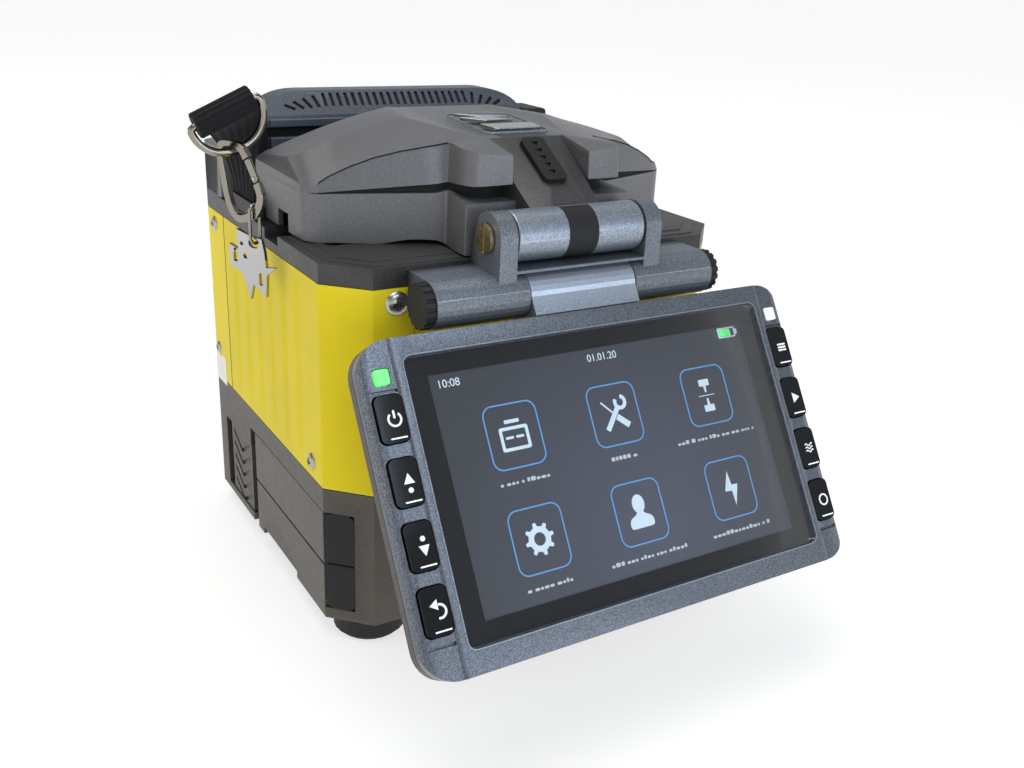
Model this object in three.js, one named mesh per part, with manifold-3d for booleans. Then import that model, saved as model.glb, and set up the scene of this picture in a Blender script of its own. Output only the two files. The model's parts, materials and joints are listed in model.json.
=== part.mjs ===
// A fiber fusion splicer as an assembly of separate named pieces, in millimetres, +Z up.
// It stands on its feet at z = 0. The screen faces -Y, and the fibers run along X.
import * as THREE from 'three';
import { ConvexGeometry } from 'three/addons/geometries/ConvexGeometry.js';
import { mergeVertices } from 'three/addons/utils/BufferGeometryUtils.js';
import Module from 'manifold-3d';

const wasm = await Module();
wasm.setup();

// ---- Driving dimensions ----

const GAP = 0.3; // clearance between touching pieces
const BODY = { half: 69.3, depth: 124, front: 11.5, rear: 6, bottom: 7, baseTop: 52, panelTop: 115.8, rim: 121.5 };
const WALL = 2.4; // plastic walls
const SHEET = 2.0; // yellow panels
const REAR_SEAM = 100; // where the rear panel starts, from the body's front
const FRONT_SEAM = 45; // half the front panel's width
const FOOT = { radius: 11.5, inset: 15.3, front: 12.5, rear: 18 };
const PACK = { front: 12, rear: 76, top: 44, length: 112, gripWidth: 7.2 };
const LATCH = { front: 82, rear: 105, low: 10, high: 37, depth: 3, travel: 4 };
const OPENING = { half: 58, front: 27, rear: 72 }; // deck opening in the top frame
const BLOCK = { front: 103, top: 136.5 }; // raised rear block that carries the heater
const SCREEN_AXIS = { y: -11.8, z: 113.5 };
const BAR = { half: 47.4, radius: 6.8, gapHalf: 18.3 };
const COVER_AXIS = { y: -9, z: 129.6 };
const EAR = { inner: 22, outer: 27.6, radius: 7.4, face: -16.4 };
const FIBER = { y: 50, z: 125 };
const DECK = { bottom: 108, top: 112 };
const SCREEN = {
  tilt: THREE.MathUtils.degToRad(32.28), // how far its top leans back
  centre: [0, -45, 73], // middle of the lit area's front
  half: 73, top: 43.5, bottom: -44.5, depth: 15.5,
  glass: [120.7, 75.8], lit: [108, 64.8], keyX: 67, keyPitch: 16.4, keyTop: 22.8,
};
const CHAIN = { angle: THREE.MathUtils.degToRad(24.7), roll: [-83.6, 50, 161.1], wire: 1.3, halfWidth: 9.2 };

// ---- Colours ----

const looks = {
  castGrey: [0x5d5f63, 0.45, 0.6],
  darkPlastic: [0x4a4743, 0.6, 0.1],
  yellow: [0xe0c81e, 0.4, 0.2],
  black: [0x18181a, 0.55, 0],
  rubber: [0x1b1b1b, 0.85, 0],
  glass: [0x08090c, 0.05, 0],
  panel: [0x1d2740, 0.3, 0],
  board: [0x1f5a35, 0.6, 0],
  steel: [0xb4b6ba, 0.3, 1],
  chrome: [0xd8d8dc, 0.12, 1],
  nickel: [0xc3b9a2, 0.2, 1],
  brass: [0xb59a5a, 0.3, 1],
  ceramic: [0xe6e2d8, 0.5, 0],
  aluminium: [0xa8abb0, 0.4, 0.9],
  greenLight: [0x55e05a, 0.3, 0],
  whiteLight: [0xe8efff, 0.3, 0],
  webbing: [0x17171a, 0.9, 0],
  gloss: [0x101012, 0.15, 0],
};

const part = new THREE.Group();

function material([color, roughness, metalness]) {
  return new THREE.MeshStandardMaterial({ color, roughness, metalness });
}

function place(name, solid, look, parent = part) {
  const geometry = solid instanceof THREE.BufferGeometry ? solid : toGeometry(solid);
  const mesh = new THREE.Mesh(geometry, material(looks[look]));
  mesh.name = name;
  parent.add(mesh);
  return mesh;
}

// ---- Solids ----

function toSolid(geometry) {
  const bare = geometry.clone();
  bare.deleteAttribute('normal');
  bare.deleteAttribute('uv');
  const merged = mergeVertices(bare, 1e-4);
  return new wasm.Manifold(new wasm.Mesh({
    numProp: 3,
    vertProperties: new Float32Array(merged.attributes.position.array),
    triVerts: new Uint32Array(merged.index.array),
  }));
}

function toGeometry(solid) {
  const mesh = solid.getMesh();
  const geometry = new THREE.BufferGeometry();
  geometry.setAttribute('position', new THREE.BufferAttribute(mesh.vertProperties, 3));
  geometry.setIndex(new THREE.BufferAttribute(mesh.triVerts, 1));
  geometry.computeVertexNormals();
  return geometry;
}

function join(...solids) {
  return solids.reduce((sum, solid) => sum.add(solid));
}

function cut(solid, ...tools) {
  return tools.reduce((rest, tool) => rest.subtract(tool), solid);
}

function box([x0, x1], [y0, y1], [z0, z1]) {
  const geometry = new THREE.BoxGeometry(x1 - x0, y1 - y0, z1 - z0);
  return toSolid(geometry.translate((x0 + x1) / 2, (y0 + y1) / 2, (z0 + z1) / 2));
}

function polygon(points) {
  return new THREE.Shape(points.map(([x, y]) => new THREE.Vector2(x, y)));
}

// A shape in the XY plane, extruded from z0 to z1.
function slab(shape, [z0, z1], curveSegments = 8) {
  const geometry = new THREE.ExtrudeGeometry(shape, { depth: z1 - z0, bevelEnabled: false, curveSegments });
  return toSolid(geometry.translate(0, 0, z0));
}

// A shape drawn in (y, z), extruded from x0 to x1.
function bar(shape, [x0, x1], curveSegments = 12) {
  const geometry = new THREE.ExtrudeGeometry(shape, { depth: x1 - x0, bevelEnabled: false, curveSegments });
  const turn = new THREE.Matrix4().makeBasis(
    new THREE.Vector3(0, 1, 0), new THREE.Vector3(0, 0, 1), new THREE.Vector3(1, 0, 0));
  return toSolid(geometry.applyMatrix4(turn).translate(x0, 0, 0));
}

function rod(radius, [x0, x1], y, z, segments = 20) {
  const geometry = new THREE.CylinderGeometry(radius, radius, x1 - x0, segments);
  return toSolid(geometry.rotateZ(-Math.PI / 2).translate((x0 + x1) / 2, y, z));
}

function pillar(radius, x, y, [z0, z1], segments = 20) {
  const geometry = new THREE.CylinderGeometry(radius, radius, z1 - z0, segments);
  return toSolid(geometry.rotateX(Math.PI / 2).translate(x, y, (z0 + z1) / 2));
}

function hull(points) {
  return toSolid(new ConvexGeometry(points.map((p) => new THREE.Vector3(...p))));
}

function mirrored(points) {
  return points.flatMap(([x, y, z]) => [[x, y, z], [-x, y, z]]);
}

function roundedRect(width, height, radius, x = 0, y = 0) {
  const shape = new THREE.Shape();
  const [left, right, low, high] = [x - width / 2, x + width / 2, y - height / 2, y + height / 2];
  shape.moveTo(left + radius, low);
  shape.lineTo(right - radius, low);
  shape.absarc(right - radius, low + radius, radius, -Math.PI / 2, 0);
  shape.lineTo(right, high - radius);
  shape.absarc(right - radius, high - radius, radius, 0, Math.PI / 2);
  shape.lineTo(left + radius, high);
  shape.absarc(left + radius, high - radius, radius, Math.PI / 2, Math.PI);
  shape.lineTo(left, low + radius);
  shape.absarc(left + radius, low + radius, radius, Math.PI, Math.PI * 1.5);
  return shape;
}

// A closed skin through rings of equally many points; joined end to start when closed.
function loft(rings, closed = false) {
  const count = rings[0].length;
  const positions = rings.flat().flatMap((p) => [p.x, p.y, p.z]);
  const faces = [];
  const spans = closed ? rings.length : rings.length - 1;
  for (let i = 0; i < spans; i += 1) {
    const next = (i + 1) % rings.length;
    for (let j = 0; j < count; j += 1) {
      const k = (j + 1) % count;
      const [a, b, c, d] = [i * count + j, i * count + k, next * count + k, next * count + j];
      faces.push(a, b, c, a, c, d);
    }
  }
  if (!closed) {
    const last = (rings.length - 1) * count;
    for (let j = 1; j < count - 1; j += 1) {
      faces.push(0, j + 1, j, last, last + j, last + j + 1);
    }
  }
  const geometry = new THREE.BufferGeometry();
  geometry.setAttribute('position', new THREE.Float32BufferAttribute(positions, 3));
  geometry.setIndex(faces);
  return toSolid(geometry);
}

// A round wire along a closed flat loop of points; `normal` is the loop's normal.
function wireLoop(points, radius, normal, sides = 8) {
  const rings = points.map((point, i) => {
    const before = points[(i + points.length - 1) % points.length];
    const after = points[(i + 1) % points.length];
    const tangent = after.clone().sub(before).normalize();
    const outward = new THREE.Vector3().crossVectors(tangent, normal).normalize();
    return Array.from({ length: sides }, (_, j) => {
      const angle = (j / sides) * Math.PI * 2;
      return point.clone()
        .addScaledVector(outward, radius * Math.cos(angle))
        .addScaledVector(normal, -radius * Math.sin(angle));
    });
  });
  return loft(rings, true);
}

// ---- Body ----

// The body's plan, with sloped front and rear corners, drawn `inset` inside its walls.
function bodyPlan(inset = 0) {
  const x = BODY.half - inset;
  const slope = inset * 0.414;
  const front = BODY.front - slope;
  const rear = BODY.rear - slope;
  return polygon([
    [-x + front, inset], [x - front, inset], [x, inset + front], [x, BODY.depth - inset - rear],
    [x - rear, BODY.depth - inset], [-x + rear, BODY.depth - inset], [-x, BODY.depth - inset - rear],
    [-x, inset + front],
  ]);
}

function lowerBase() {
  const bay = box([-BODY.half - 1, -BODY.half + PACK.length + GAP], [PACK.front - GAP, PACK.rear + GAP],
    [BODY.bottom - 1, PACK.top + GAP]);
  const gripReach = PACK.gripWidth + GAP;
  const gripBay = box([-BODY.half - 1, -BODY.half + gripReach + 1], [PACK.front - gripReach, PACK.front],
    [BODY.bottom + 4 - GAP, PACK.top + GAP]);
  const latchBay = box([-BODY.half - 1, -BODY.half + LATCH.depth],
    [LATCH.front - LATCH.travel - 1, LATCH.rear + LATCH.travel + 1], [LATCH.low - GAP, LATCH.high + GAP]);
  const fingerGap = box([-BODY.half - 1, -BODY.half + 2.5], [PACK.rear, LATCH.front - 1], [BODY.bottom - 1, PACK.top]);
  const trough = slab(bodyPlan(WALL), [PACK.top + GAP + WALL, BODY.baseTop + 1]);
  const rightHollow = box([50, BODY.half - WALL], [PACK.front, BODY.depth - PACK.front], [BODY.bottom + WALL, BODY.baseTop]);
  const shell = slab(bodyPlan(), [BODY.bottom, BODY.baseTop]);
  return cut(shell, bay, gripBay, latchBay, fingerGap, trough, rightHollow);
}

function batteryPack() {
  const panel = box([-BODY.half, -BODY.half + PACK.length], [PACK.front, PACK.rear], [BODY.bottom, PACK.top]);
  const partingLine = box([-BODY.half - 1, -BODY.half + 0.5], [PACK.front - 1, PACK.rear + 1], [25.6, 26.4]);
  const fingerStep = box([-BODY.half - 1, -BODY.half + 12], [37, 70], [BODY.bottom - 1, BODY.bottom + 2.5]);
  return cut(panel, partingLine, fingerStep);
}

// Black insert on the sloped front corner where a finger pulls the pack out.
function batteryGrip() {
  const reach = PACK.gripWidth;
  const edge = -BODY.half + 0.8;
  const outline = polygon([
    [edge, PACK.front - GAP], [edge + reach - 1, PACK.front - reach + 1],
    [edge + reach, PACK.front - reach + 1], [edge + reach, PACK.front - GAP],
  ]);
  return slab(outline, [BODY.bottom + 4, PACK.top]);
}

function batteryLatch() {
  const skin = -BODY.half + 0.4;
  const plate = box([skin, -BODY.half + LATCH.depth - GAP], [LATCH.front, LATCH.rear], [LATCH.low, LATCH.high]);
  const middle = (LATCH.front + LATCH.rear) / 2;
  const ribs = [0, 1, 2, 3, 4].map((i) => {
    const top = LATCH.high - 1.5 - i * 5;
    const chevron = polygon([
      [middle - 9, top], [middle, top - 5], [middle + 9, top],
      [middle + 9, top - 1.6], [middle, top - 6.6], [middle - 9, top - 1.6],
    ]);
    return bar(chevron, [skin - 1, skin + 0.7]);
  });
  return cut(plate, ...ribs);
}

function addBase() {
  place('lower_base', lowerBase(), 'darkPlastic');
  place('battery_pack', batteryPack(), 'darkPlastic');
  place('battery_grip', batteryGrip(), 'gloss');
  place('battery_latch', batteryLatch(), 'darkPlastic');
  const x = BODY.half - FOOT.inset;
  const feet = [
    ['foot_front_left', -x, FOOT.front], ['foot_front_right', x, FOOT.front],
    ['foot_rear_left', -x, BODY.depth - FOOT.rear], ['foot_rear_right', x, BODY.depth - FOOT.rear],
  ];
  for (const [name, footX, footY] of feet) {
    const height = BODY.bottom - GAP;
    const profile = [[0, 0], [FOOT.radius - 1.5, 0], [FOOT.radius, 1.5], [FOOT.radius, height], [0, height]];
    const foot = new THREE.LatheGeometry(profile.map(([r, z]) => new THREE.Vector2(r, z)), 24);
    place(name, toSolid(foot.rotateX(Math.PI / 2).translate(footX, footY, 0)), 'rubber');
  }
}

// ---- Yellow panels ----

// One side panel's plan: front return, sloped corner and a fluted side. `side` is -1 on the left.
function sidePanel(side) {
  const x = BODY.half;
  const outer = [[FRONT_SEAM + GAP, 0], [x - BODY.front, 0], [x, BODY.front]];
  const flute = { first: 25, pitch: 12, width: 6.5, depth: 0.7, count: 6 };
  for (let i = 0; i < flute.count; i += 1) {
    const start = flute.first + i * flute.pitch;
    outer.push([x, start], [x - flute.depth, start + 1]);
    outer.push([x - flute.depth, start + flute.width - 1], [x, start + flute.width]);
  }
  const inner = x - SHEET;
  const innerFront = BODY.front + SHEET * 0.414;
  outer.push([x, REAR_SEAM - GAP], [inner, REAR_SEAM - GAP], [inner, innerFront]);
  outer.push([x - BODY.front - SHEET * 0.414, SHEET], [FRONT_SEAM + GAP, SHEET]);
  return slab(polygon(outer.map(([px, py]) => [side * px, py])), [BODY.baseTop + GAP, BODY.panelTop - GAP]);
}

function rearPanel() {
  const heights = [BODY.baseTop + GAP, BODY.panelTop - GAP];
  const ring = cut(slab(bodyPlan(), heights), slab(bodyPlan(SHEET), [heights[0] - 1, heights[1] + 1]));
  const frontHalf = box([-BODY.half - 1, BODY.half + 1], [-1, REAR_SEAM], [0, BODY.rim]);
  const portHole = box([-24, 24], [BODY.depth - 5, BODY.depth + 1], [62, 84]);
  return cut(ring, frontHalf, portHole);
}

function portBlock() {
  const block = box([-24 + GAP, 24 - GAP], [BODY.depth - 9, BODY.depth - 0.6], [62 + GAP, 84 - GAP]);
  const face = BODY.depth - 0.6;
  const sockets = [
    box([-20, -6], [face - 6, face + 1], [70, 76]),
    box([-2, 7], [face - 6, face + 1], [70, 75]),
  ];
  const jack = toSolid(new THREE.CylinderGeometry(4, 4, 8, 20).translate(15, face - 2, 73));
  return cut(block, ...sockets, jack);
}

function addPanels() {
  place('left_side_panel', sidePanel(-1), 'yellow');
  place('right_side_panel', sidePanel(1), 'yellow');
  const front = box([-FRONT_SEAM, FRONT_SEAM], [0, SHEET], [BODY.baseTop + GAP, BODY.panelTop - GAP]);
  place('front_panel', front, 'yellow');
  place('rear_panel', rearPanel(), 'yellow');
  place('port_block', portBlock(), 'black');
  const bosses = [-1, 1].flatMap((sx) => [30, 90].map((y) => pillar(3, sx * 40, y, [PACK.top + WALL + 2 * GAP, 60])));
  place('main_board', join(box([-50, 50], [20, 100], [60 - 0.01, 61.6]), ...bosses), 'board');
}

// ---- Top frame ----

function earProfile() {
  const shape = new THREE.Shape();
  const { y, z } = COVER_AXIS;
  shape.moveTo(EAR.face, SCREEN_AXIS.z);
  shape.lineTo(EAR.face, z);
  shape.absarc(y, z, EAR.radius, Math.PI, Math.PI * 0.25, true);
  shape.lineTo(0.5, BODY.rim - 0.5);
  shape.lineTo(0.5, BODY.panelTop + 1);
  shape.lineTo(-GAP, BODY.panelTop + 1);
  shape.lineTo(-GAP, SCREEN_AXIS.z);
  return shape;
}

function topFrame() {
  const plate = slab(bodyPlan(), [BODY.panelTop, BODY.rim]);
  const block = slab(bodyPlan(), [BODY.rim - 1, BLOCK.top]).intersect(
    box([-BODY.half, BODY.half], [BLOCK.front, BODY.depth], [0, BLOCK.top]));
  const pieces = [plate, block];
  const { y, z } = SCREEN_AXIS;
  for (const side of [-1, 1]) {
    const span = (a, b) => (side < 0 ? [-b, -a] : [a, b]);
    pieces.push(bar(earProfile(), span(EAR.inner, EAR.outer)));
    pieces.push(rod(BAR.radius, span(BAR.gapHalf, BAR.half), y, z, 28));
    pieces.push(box(span(BAR.gapHalf, BAR.half), [y, -GAP], [z - 3.5, z + BAR.radius]));
    pieces.push(box(span(BAR.gapHalf, BAR.half), [y, 1], [BODY.panelTop, z + BAR.radius]));
  }
  pieces.push(box([-EAR.inner - 1, EAR.inner + 1], [EAR.face, 1], [SCREEN_AXIS.z + BAR.radius + 0.4, BODY.rim]));
  const deckOpening = box([-OPENING.half, OPENING.half], [OPENING.front, OPENING.rear], [100, 130]);
  const fiberNotch = box([-BODY.half - 1, BODY.half + 1], [FIBER.y - 6, FIBER.y + 6], [118.5, 130]);
  const heaterPocket = box([-53, 53], [BLOCK.front - 1, 121.5], [132.5, 140]);
  const darkWell = box([-56, 56], [80, 116], [118.5, 133]);
  const shaftBore = rod(3.3, [-60, 60], y, z, 16);
  const pinBore = rod(3.3, [-40, 40], COVER_AXIS.y, COVER_AXIS.z, 16);
  return cut(join(...pieces), deckOpening, fiberNotch, heaterPocket, darkWell, shaftBore, pinBore);
}

// A knurled disc with a square-toothed rim, closing the hinge bar's end.
function hingeCap(side) {
  const teeth = 16;
  const rim = [];
  for (let i = 0; i < teeth; i += 1) {
    for (const [share, radius] of [[0, 6.5], [0.5, 6.5], [0.6, 6.0], [0.9, 6.0]]) {
      const angle = ((i + share) / teeth) * Math.PI * 2;
      rim.push([SCREEN_AXIS.y + radius * Math.cos(angle), SCREEN_AXIS.z + radius * Math.sin(angle)]);
    }
  }
  const near = BAR.half + GAP;
  return bar(polygon(rim), side < 0 ? [-near - 2.6, -near] : [near, near + 2.6]);
}

function addFrame() {
  place('top_frame', topFrame(), 'castGrey');
  place('hinge_cap_left', hingeCap(-1), 'rubber');
  place('hinge_cap_right', hingeCap(1), 'rubber');
  place('screen_hinge_shaft', rod(3, [-BAR.half, BAR.half], SCREEN_AXIS.y, SCREEN_AXIS.z, 16), 'steel');
  const { y, z } = COVER_AXIS;
  const head = rod(4.3, [-EAR.outer - 1.4, -EAR.outer - GAP], y, z, 24);
  const slot = box([-EAR.outer - 2, -EAR.outer - 0.8], [y - 0.6, y + 0.6], [z - 5, z + 5]);
  place('cover_pin', cut(join(head, rod(3, [-EAR.outer - 1, EAR.outer], y, z, 16)), slot), 'brass');
}

// ---- Screen unit, built upright around the lit area's middle and then tilted ----

function bezelProfile(widthInset, heightInset) {
  const width = 2 * (SCREEN.half - widthInset);
  const height = SCREEN.top - SCREEN.bottom - 2 * heightInset;
  return roundedRect(width, height, 9 - widthInset * 0.5, 0, (SCREEN.top + SCREEN.bottom) / 2);
}

// A shape drawn in the screen's (x, z) plane, from front y0 to back y1.
function layer(shape, [y0, y1], curveSegments = 4) {
  const geometry = new THREE.ExtrudeGeometry(shape, { depth: y1 - y0, bevelEnabled: false, curveSegments });
  return toSolid(geometry.rotateX(Math.PI / 2).translate(0, y1, 0));
}

function keyPlaces() {
  const names = [['power', 'select'], ['up', 'run'], ['down', 'heat'], ['back', 'stop']];
  return names.flatMap((pair, row) => pair.map((name, column) => ({
    name: `key_${name}`, x: (column ? 1 : -1) * SCREEN.keyX, z: SCREEN.keyTop - row * SCREEN.keyPitch,
  })));
}

const KEY = { width: 7.4, height: 12.4, radius: 1.6, proud: 0.9, flank: 1.6, travel: 0.8 };

function screenBezel() {
  const body = layer(bezelProfile(0, 0), [0.4, 6]);
  const flankCuts = [-1, 1].map((side) => {
    const outline = new THREE.Shape();
    outline.moveTo(side * 62.5, -1);
    outline.lineTo(side * 80, -1);
    outline.lineTo(side * 80, 6);
    outline.lineTo(side * 73.5, 4.2);
    outline.lineTo(side * 70.5, 1.6);
    outline.lineTo(side * 64, 1.2);
    return slab(outline, [-60, 60]);
  });
  const glassSeat = layer(roundedRect(SCREEN.glass[0] + 0.6, SCREEN.glass[1] + 0.6, 2.3), [-1, 2.2]);
  const panelWindow = layer(roundedRect(SCREEN.glass[0] - 4, SCREEN.glass[1] - 4, 1), [-1, 7]);
  const keyHoles = keyPlaces().map(({ x, z }) => layer(
    roundedRect(KEY.width + 0.6, KEY.height + 0.6, KEY.radius + 0.3, x, z), [-1, 7]));
  const lightHoles = [-1, 1].map((side) => layer(roundedRect(4.6, 4.6, 0.8, side * 67, 33.8), [-1, 7]));
  return cut(body, ...flankCuts, glassSeat, panelWindow, ...keyHoles, ...lightHoles);
}

function screenBack() {
  const rim = layer(bezelProfile(0, 0), [6 + GAP, 9.5]);
  const tub = layer(bezelProfile(6, 5), [9, SCREEN.depth]);
  const hollow = layer(bezelProfile(8.5, 7.5), [6, SCREEN.depth - WALL]);
  return cut(join(rim, tub), hollow);
}

// Turns a (y, z) place in the part into the upright screen's own (y, z).
function inScreen({ y, z }) {
  const [, centreY, centreZ] = SCREEN.centre;
  const [cos, sin] = [Math.cos(SCREEN.tilt), Math.sin(SCREEN.tilt)];
  return { y: (y - centreY) * cos - (z - centreZ) * sin, z: (y - centreY) * sin + (z - centreZ) * cos };
}

// The block that carries the screen: a barrel round the shaft and a flat-faced neck.
function screenKnuckle() {
  const axis = inScreen(SCREEN_AXIS);
  const neck = polygon([[0.5, 43.5 + GAP], [13, 43.5 + GAP], [axis.y + BAR.radius - 0.3, axis.z], [axis.y - 6, axis.z]]);
  const solid = join(bar(neck, [-18, 18]), rod(BAR.radius - 0.2, [-18, 18], axis.y, axis.z, 28));
  return cut(solid, rod(3.3, [-20, 20], axis.y, axis.z, 16));
}

function addScreen() {
  const screen = new THREE.Group();
  screen.position.set(...SCREEN.centre);
  screen.rotation.x = -SCREEN.tilt;
  part.add(screen);
  place('screen_bezel', screenBezel(), 'castGrey', screen);
  place('screen_back', screenBack(), 'darkPlastic', screen);
  place('screen_knuckle', screenKnuckle(), 'aluminium', screen);
  place('display_glass', layer(roundedRect(...SCREEN.glass, 2), [0.6, 1.9]), 'glass', screen);
  const [litWidth, litHeight] = SCREEN.lit;
  place('display_panel', layer(roundedRect(litWidth + 4, litHeight + 4, 0.5), [2.5, 5.6], 1), 'panel', screen);
  for (const { name, x, z } of keyPlaces()) {
    const cap = layer(roundedRect(KEY.width, KEY.height, KEY.radius, x, z), [KEY.flank - KEY.proud, 5.2]);
    place(name, cap, 'gloss', screen);
  }
  for (const [name, side, look] of [['led_left', -1, 'greenLight'], ['led_right', 1, 'whiteLight']]) {
    place(name, layer(roundedRect(4, 4, 0.6, side * 67, 33.8), [1.1, 4.5], 2), look, screen);
  }
}

// ---- Wind cover ----

const COVER = { half: 65, bottom: BODY.rim + 0.6, rear: 75, inner: 27.3 };

// The cover's faceted outside, drawn `t` inside its own surface.
function coverDome(t) {
  const { half, bottom, rear, inner } = COVER;
  const corner = half - 3;
  return hull(mirrored([
    [corner - t, 31 + t, bottom - t], [half - t, 37 + t, bottom - t], [half - t, rear - t, bottom - t],
    [inner - t * 0.5, 15.2 + t, bottom - t], [corner - t, 31.5 + t, 138 - t], [half - t, 38 + t, 138.5 - t],
    [inner - t * 0.5, 15.6 + t, 138 - t * 0.5], [45.5 - t, 26.5 + t, 146.5 - t], [31 - t, 21 + t, 149.7 - t],
    [half - t, rear - t, 139 - t], [58.5 - t, 47, 146 - t], [43, rear - t, 148 - t],
    [15.5, 18 + t * 2, 152.3 - t], [26 - t * 0.5, 50, 154.2 - t], [20 - t * 0.5, rear - t, 154 - t],
  ]));
}

// Stepped shoulders beside the arm: a lower block and an upper one with a shelf between them.
function coverShoulders() {
  const { bottom, inner } = COVER;
  const lower = box([-inner - 1.4, inner + 1.4], [1.4, 28], [bottom, 136.8]);
  const upper = [
    [26, 20, 140.8], [27.3, 8, 141], [24.2, 3.2, 141.4], [13.5, 2.4, 141.6], [13.5, 20, 141.6],
    [25, 20, 151], [26.3, 9, 151], [23.8, 3.8, 150.6], [13.5, 2.6, 149.5], [15.5, 18, 152.2], [13.5, 20, 152.2],
  ];
  return join(lower, ...[-1, 1].map((side) => hull(upper.map(([x, y, z]) => [side * x, y, z]))));
}

// The arm slopes from the cover's top down to the barrel, with bevelled flanks.
function coverArm() {
  const { y, z } = COVER_AXIS;
  const foot = [[7, y + 1.5, z + 7.1], [12, y + 1.5, z + 5], [12, y + 7, z - 1], [12, y + 4, z - 4]];
  const root = [[7, 18, 152.3], [14.5, 18, 150], [14.5, 18, 124], [7, 30, 152.3], [14.5, 30, 150]];
  return hull(mirrored([...foot, ...root]));
}

function sleeveSector(outer, inner, halfWidth) {
  const shape = new THREE.Shape();
  const { y, z } = COVER_AXIS;
  const [start, end] = [Math.PI * 0.52, Math.PI * 1.5];
  shape.absarc(y, z, outer, start, end, false);
  shape.absarc(y, z, inner, end, start, true);
  return bar(shape, [-halfWidth, halfWidth], 14);
}

function windCover() {
  const { y, z } = COVER_AXIS;
  const barrel = rod(EAR.radius - 0.1, [-21.4, 21.4], y, z, 28);
  const shell = join(cut(coverDome(0), coverDome(WALL)), coverShoulders(), coverArm(), barrel);
  const fiberSlot = box([-70, 70], [FIBER.y - 4, FIBER.y + 4], [COVER.bottom - 5, FIBER.z + 3]);
  const inside = coverDome(WALL).intersect(box([-80, 80], [25, 80], [COVER.bottom - 5, 160]));
  return cut(shell, inside, fiberSlot, rod(3.3, [-30, 30], y, z, 16), sleeveSector(9, 5.6, 5.3));
}

// Directions along and out of the arm's sloped top.
function armFrame() {
  const top = new THREE.Vector3(0, 18, 152.3);
  const foot = new THREE.Vector3(0, COVER_AXIS.y + 1.5, COVER_AXIS.z + 7.1);
  const along = foot.clone().sub(top).normalize();
  return { top, along, out: new THREE.Vector3(0, along.z, -along.y) };
}

// A box on the arm's slope, from `from` to `to` along it and `low` to `high` above it.
function onArm(halfWidth, [from, to], [low, high]) {
  const { top, along, out } = armFrame();
  const points = [];
  for (const x of [-halfWidth, halfWidth]) {
    for (const distance of [from, to]) {
      for (const height of [low, high]) {
        const inset = height === high ? 0.5 : 0;
        const point = top.clone().addScaledVector(along, distance + (distance === from ? inset : -inset));
        point.addScaledVector(out, height);
        points.push([x - Math.sign(x) * inset, point.y, point.z]);
      }
    }
  }
  return hull(points);
}

function addCover() {
  place('wind_cover', windCover(), 'castGrey');
  place('barrel_sleeve', sleeveSector(EAR.radius, 5.9, 5), 'rubber');
  place('cover_pad', onArm(4, [2.5, 21], [GAP, 2]), 'rubber');
  const slope = Math.atan2(1.9, 32);
  const plate = new THREE.BoxGeometry(20, 24, 0.9).rotateX(slope).translate(0, 36, 154.2);
  place('cover_badge', toSolid(plate), 'chrome');
}

// ---- Splicing deck ----

function addDeck() {
  const opening = box([-6, 6], [FIBER.y - 8, FIBER.y + 8], [DECK.bottom - 1, DECK.top + 1]);
  const plate = box([-57.5, 57.5], [OPENING.front + 0.5, OPENING.rear - 0.5], [DECK.bottom, DECK.top]);
  place('inner_deck', cut(plate, opening), 'black');
  const lens = join(pillar(4.5, 0, FIBER.y, [95, 115], 20), box([-5, 5], [FIBER.y - 7, FIBER.y + 7], [76, 96]));
  place('microscope', lens, 'aluminium');
  for (const [name, side] of [['left_v_groove', -1], ['right_v_groove', 1]]) {
    const block = box([side < 0 ? -14 : 7, side < 0 ? -7 : 14], [FIBER.y - 5, FIBER.y + 5], [DECK.top + GAP, 124.6]);
    const groove = bar(polygon([[FIBER.y - 2, 125.6], [FIBER.y + 2, 125.6], [FIBER.y, 123.6]]), [-20, 20]);
    place(name, cut(block, groove), 'ceramic');
  }
  for (const [name, side] of [['front', -1], ['rear', 1]]) {
    const middle = FIBER.y + side * 15;
    const mount = box([-7, 7], [middle - 5, middle + 5], [DECK.top + GAP, 128.5]);
    const bore = toSolid(new THREE.CylinderGeometry(1.6, 1.6, 30, 12).translate(0, middle, FIBER.z));
    place(`${name}_electrode_mount`, cut(mount, bore), 'black');
    const profile = [[0, 1.5], [1.2, 5], [1.2, 22], [0, 22]];
    const needle = new THREE.LatheGeometry(profile.map(([r, h]) => new THREE.Vector2(r, h)), 12);
    const electrode = toSolid(needle.rotateX(side < 0 ? Math.PI : 0).translate(0, FIBER.y, FIBER.z));
    place(`${name}_electrode`, electrode, 'steel');
  }
}

function addFeeds() {
  const stage = { near: 28, far: 54, front: FIBER.y - 10, rear: FIBER.y + 12, top: 123.2 };
  const lidAxis = { y: FIBER.y + 10.5, z: stage.top + 2 };
  for (const [name, side] of [['left', -1], ['right', 1]]) {
    const span = (a, b) => (side < 0 ? [-b, -a] : [a, b]);
    const block = box(span(stage.near, stage.far), [stage.front, stage.rear], [DECK.top + GAP, stage.top]);
    const channel = box(span(stage.near - 1, stage.far + 1), [FIBER.y - 1.5, FIBER.y + 1.5], [121, 130]);
    place(`${name}_feed_stage`, cut(block, channel), 'aluminium');
    const lid = box(span(stage.near + 2, stage.far - 2), [stage.front + 1, lidAxis.y], [stage.top + 0.6, stage.top + 3.4]);
    const barrel = rod(1.6, span(stage.near + 2, stage.far - 2), lidAxis.y, lidAxis.z, 16);
    place(`${name}_fiber_clamp`, join(lid, barrel), 'black');
  }
}

// ---- Tube heater ----

const HEATER = { front: 104, rear: 121, baseTop: 141, lidBottom: 144.3, top: 155.5, half: 51 };

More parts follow.
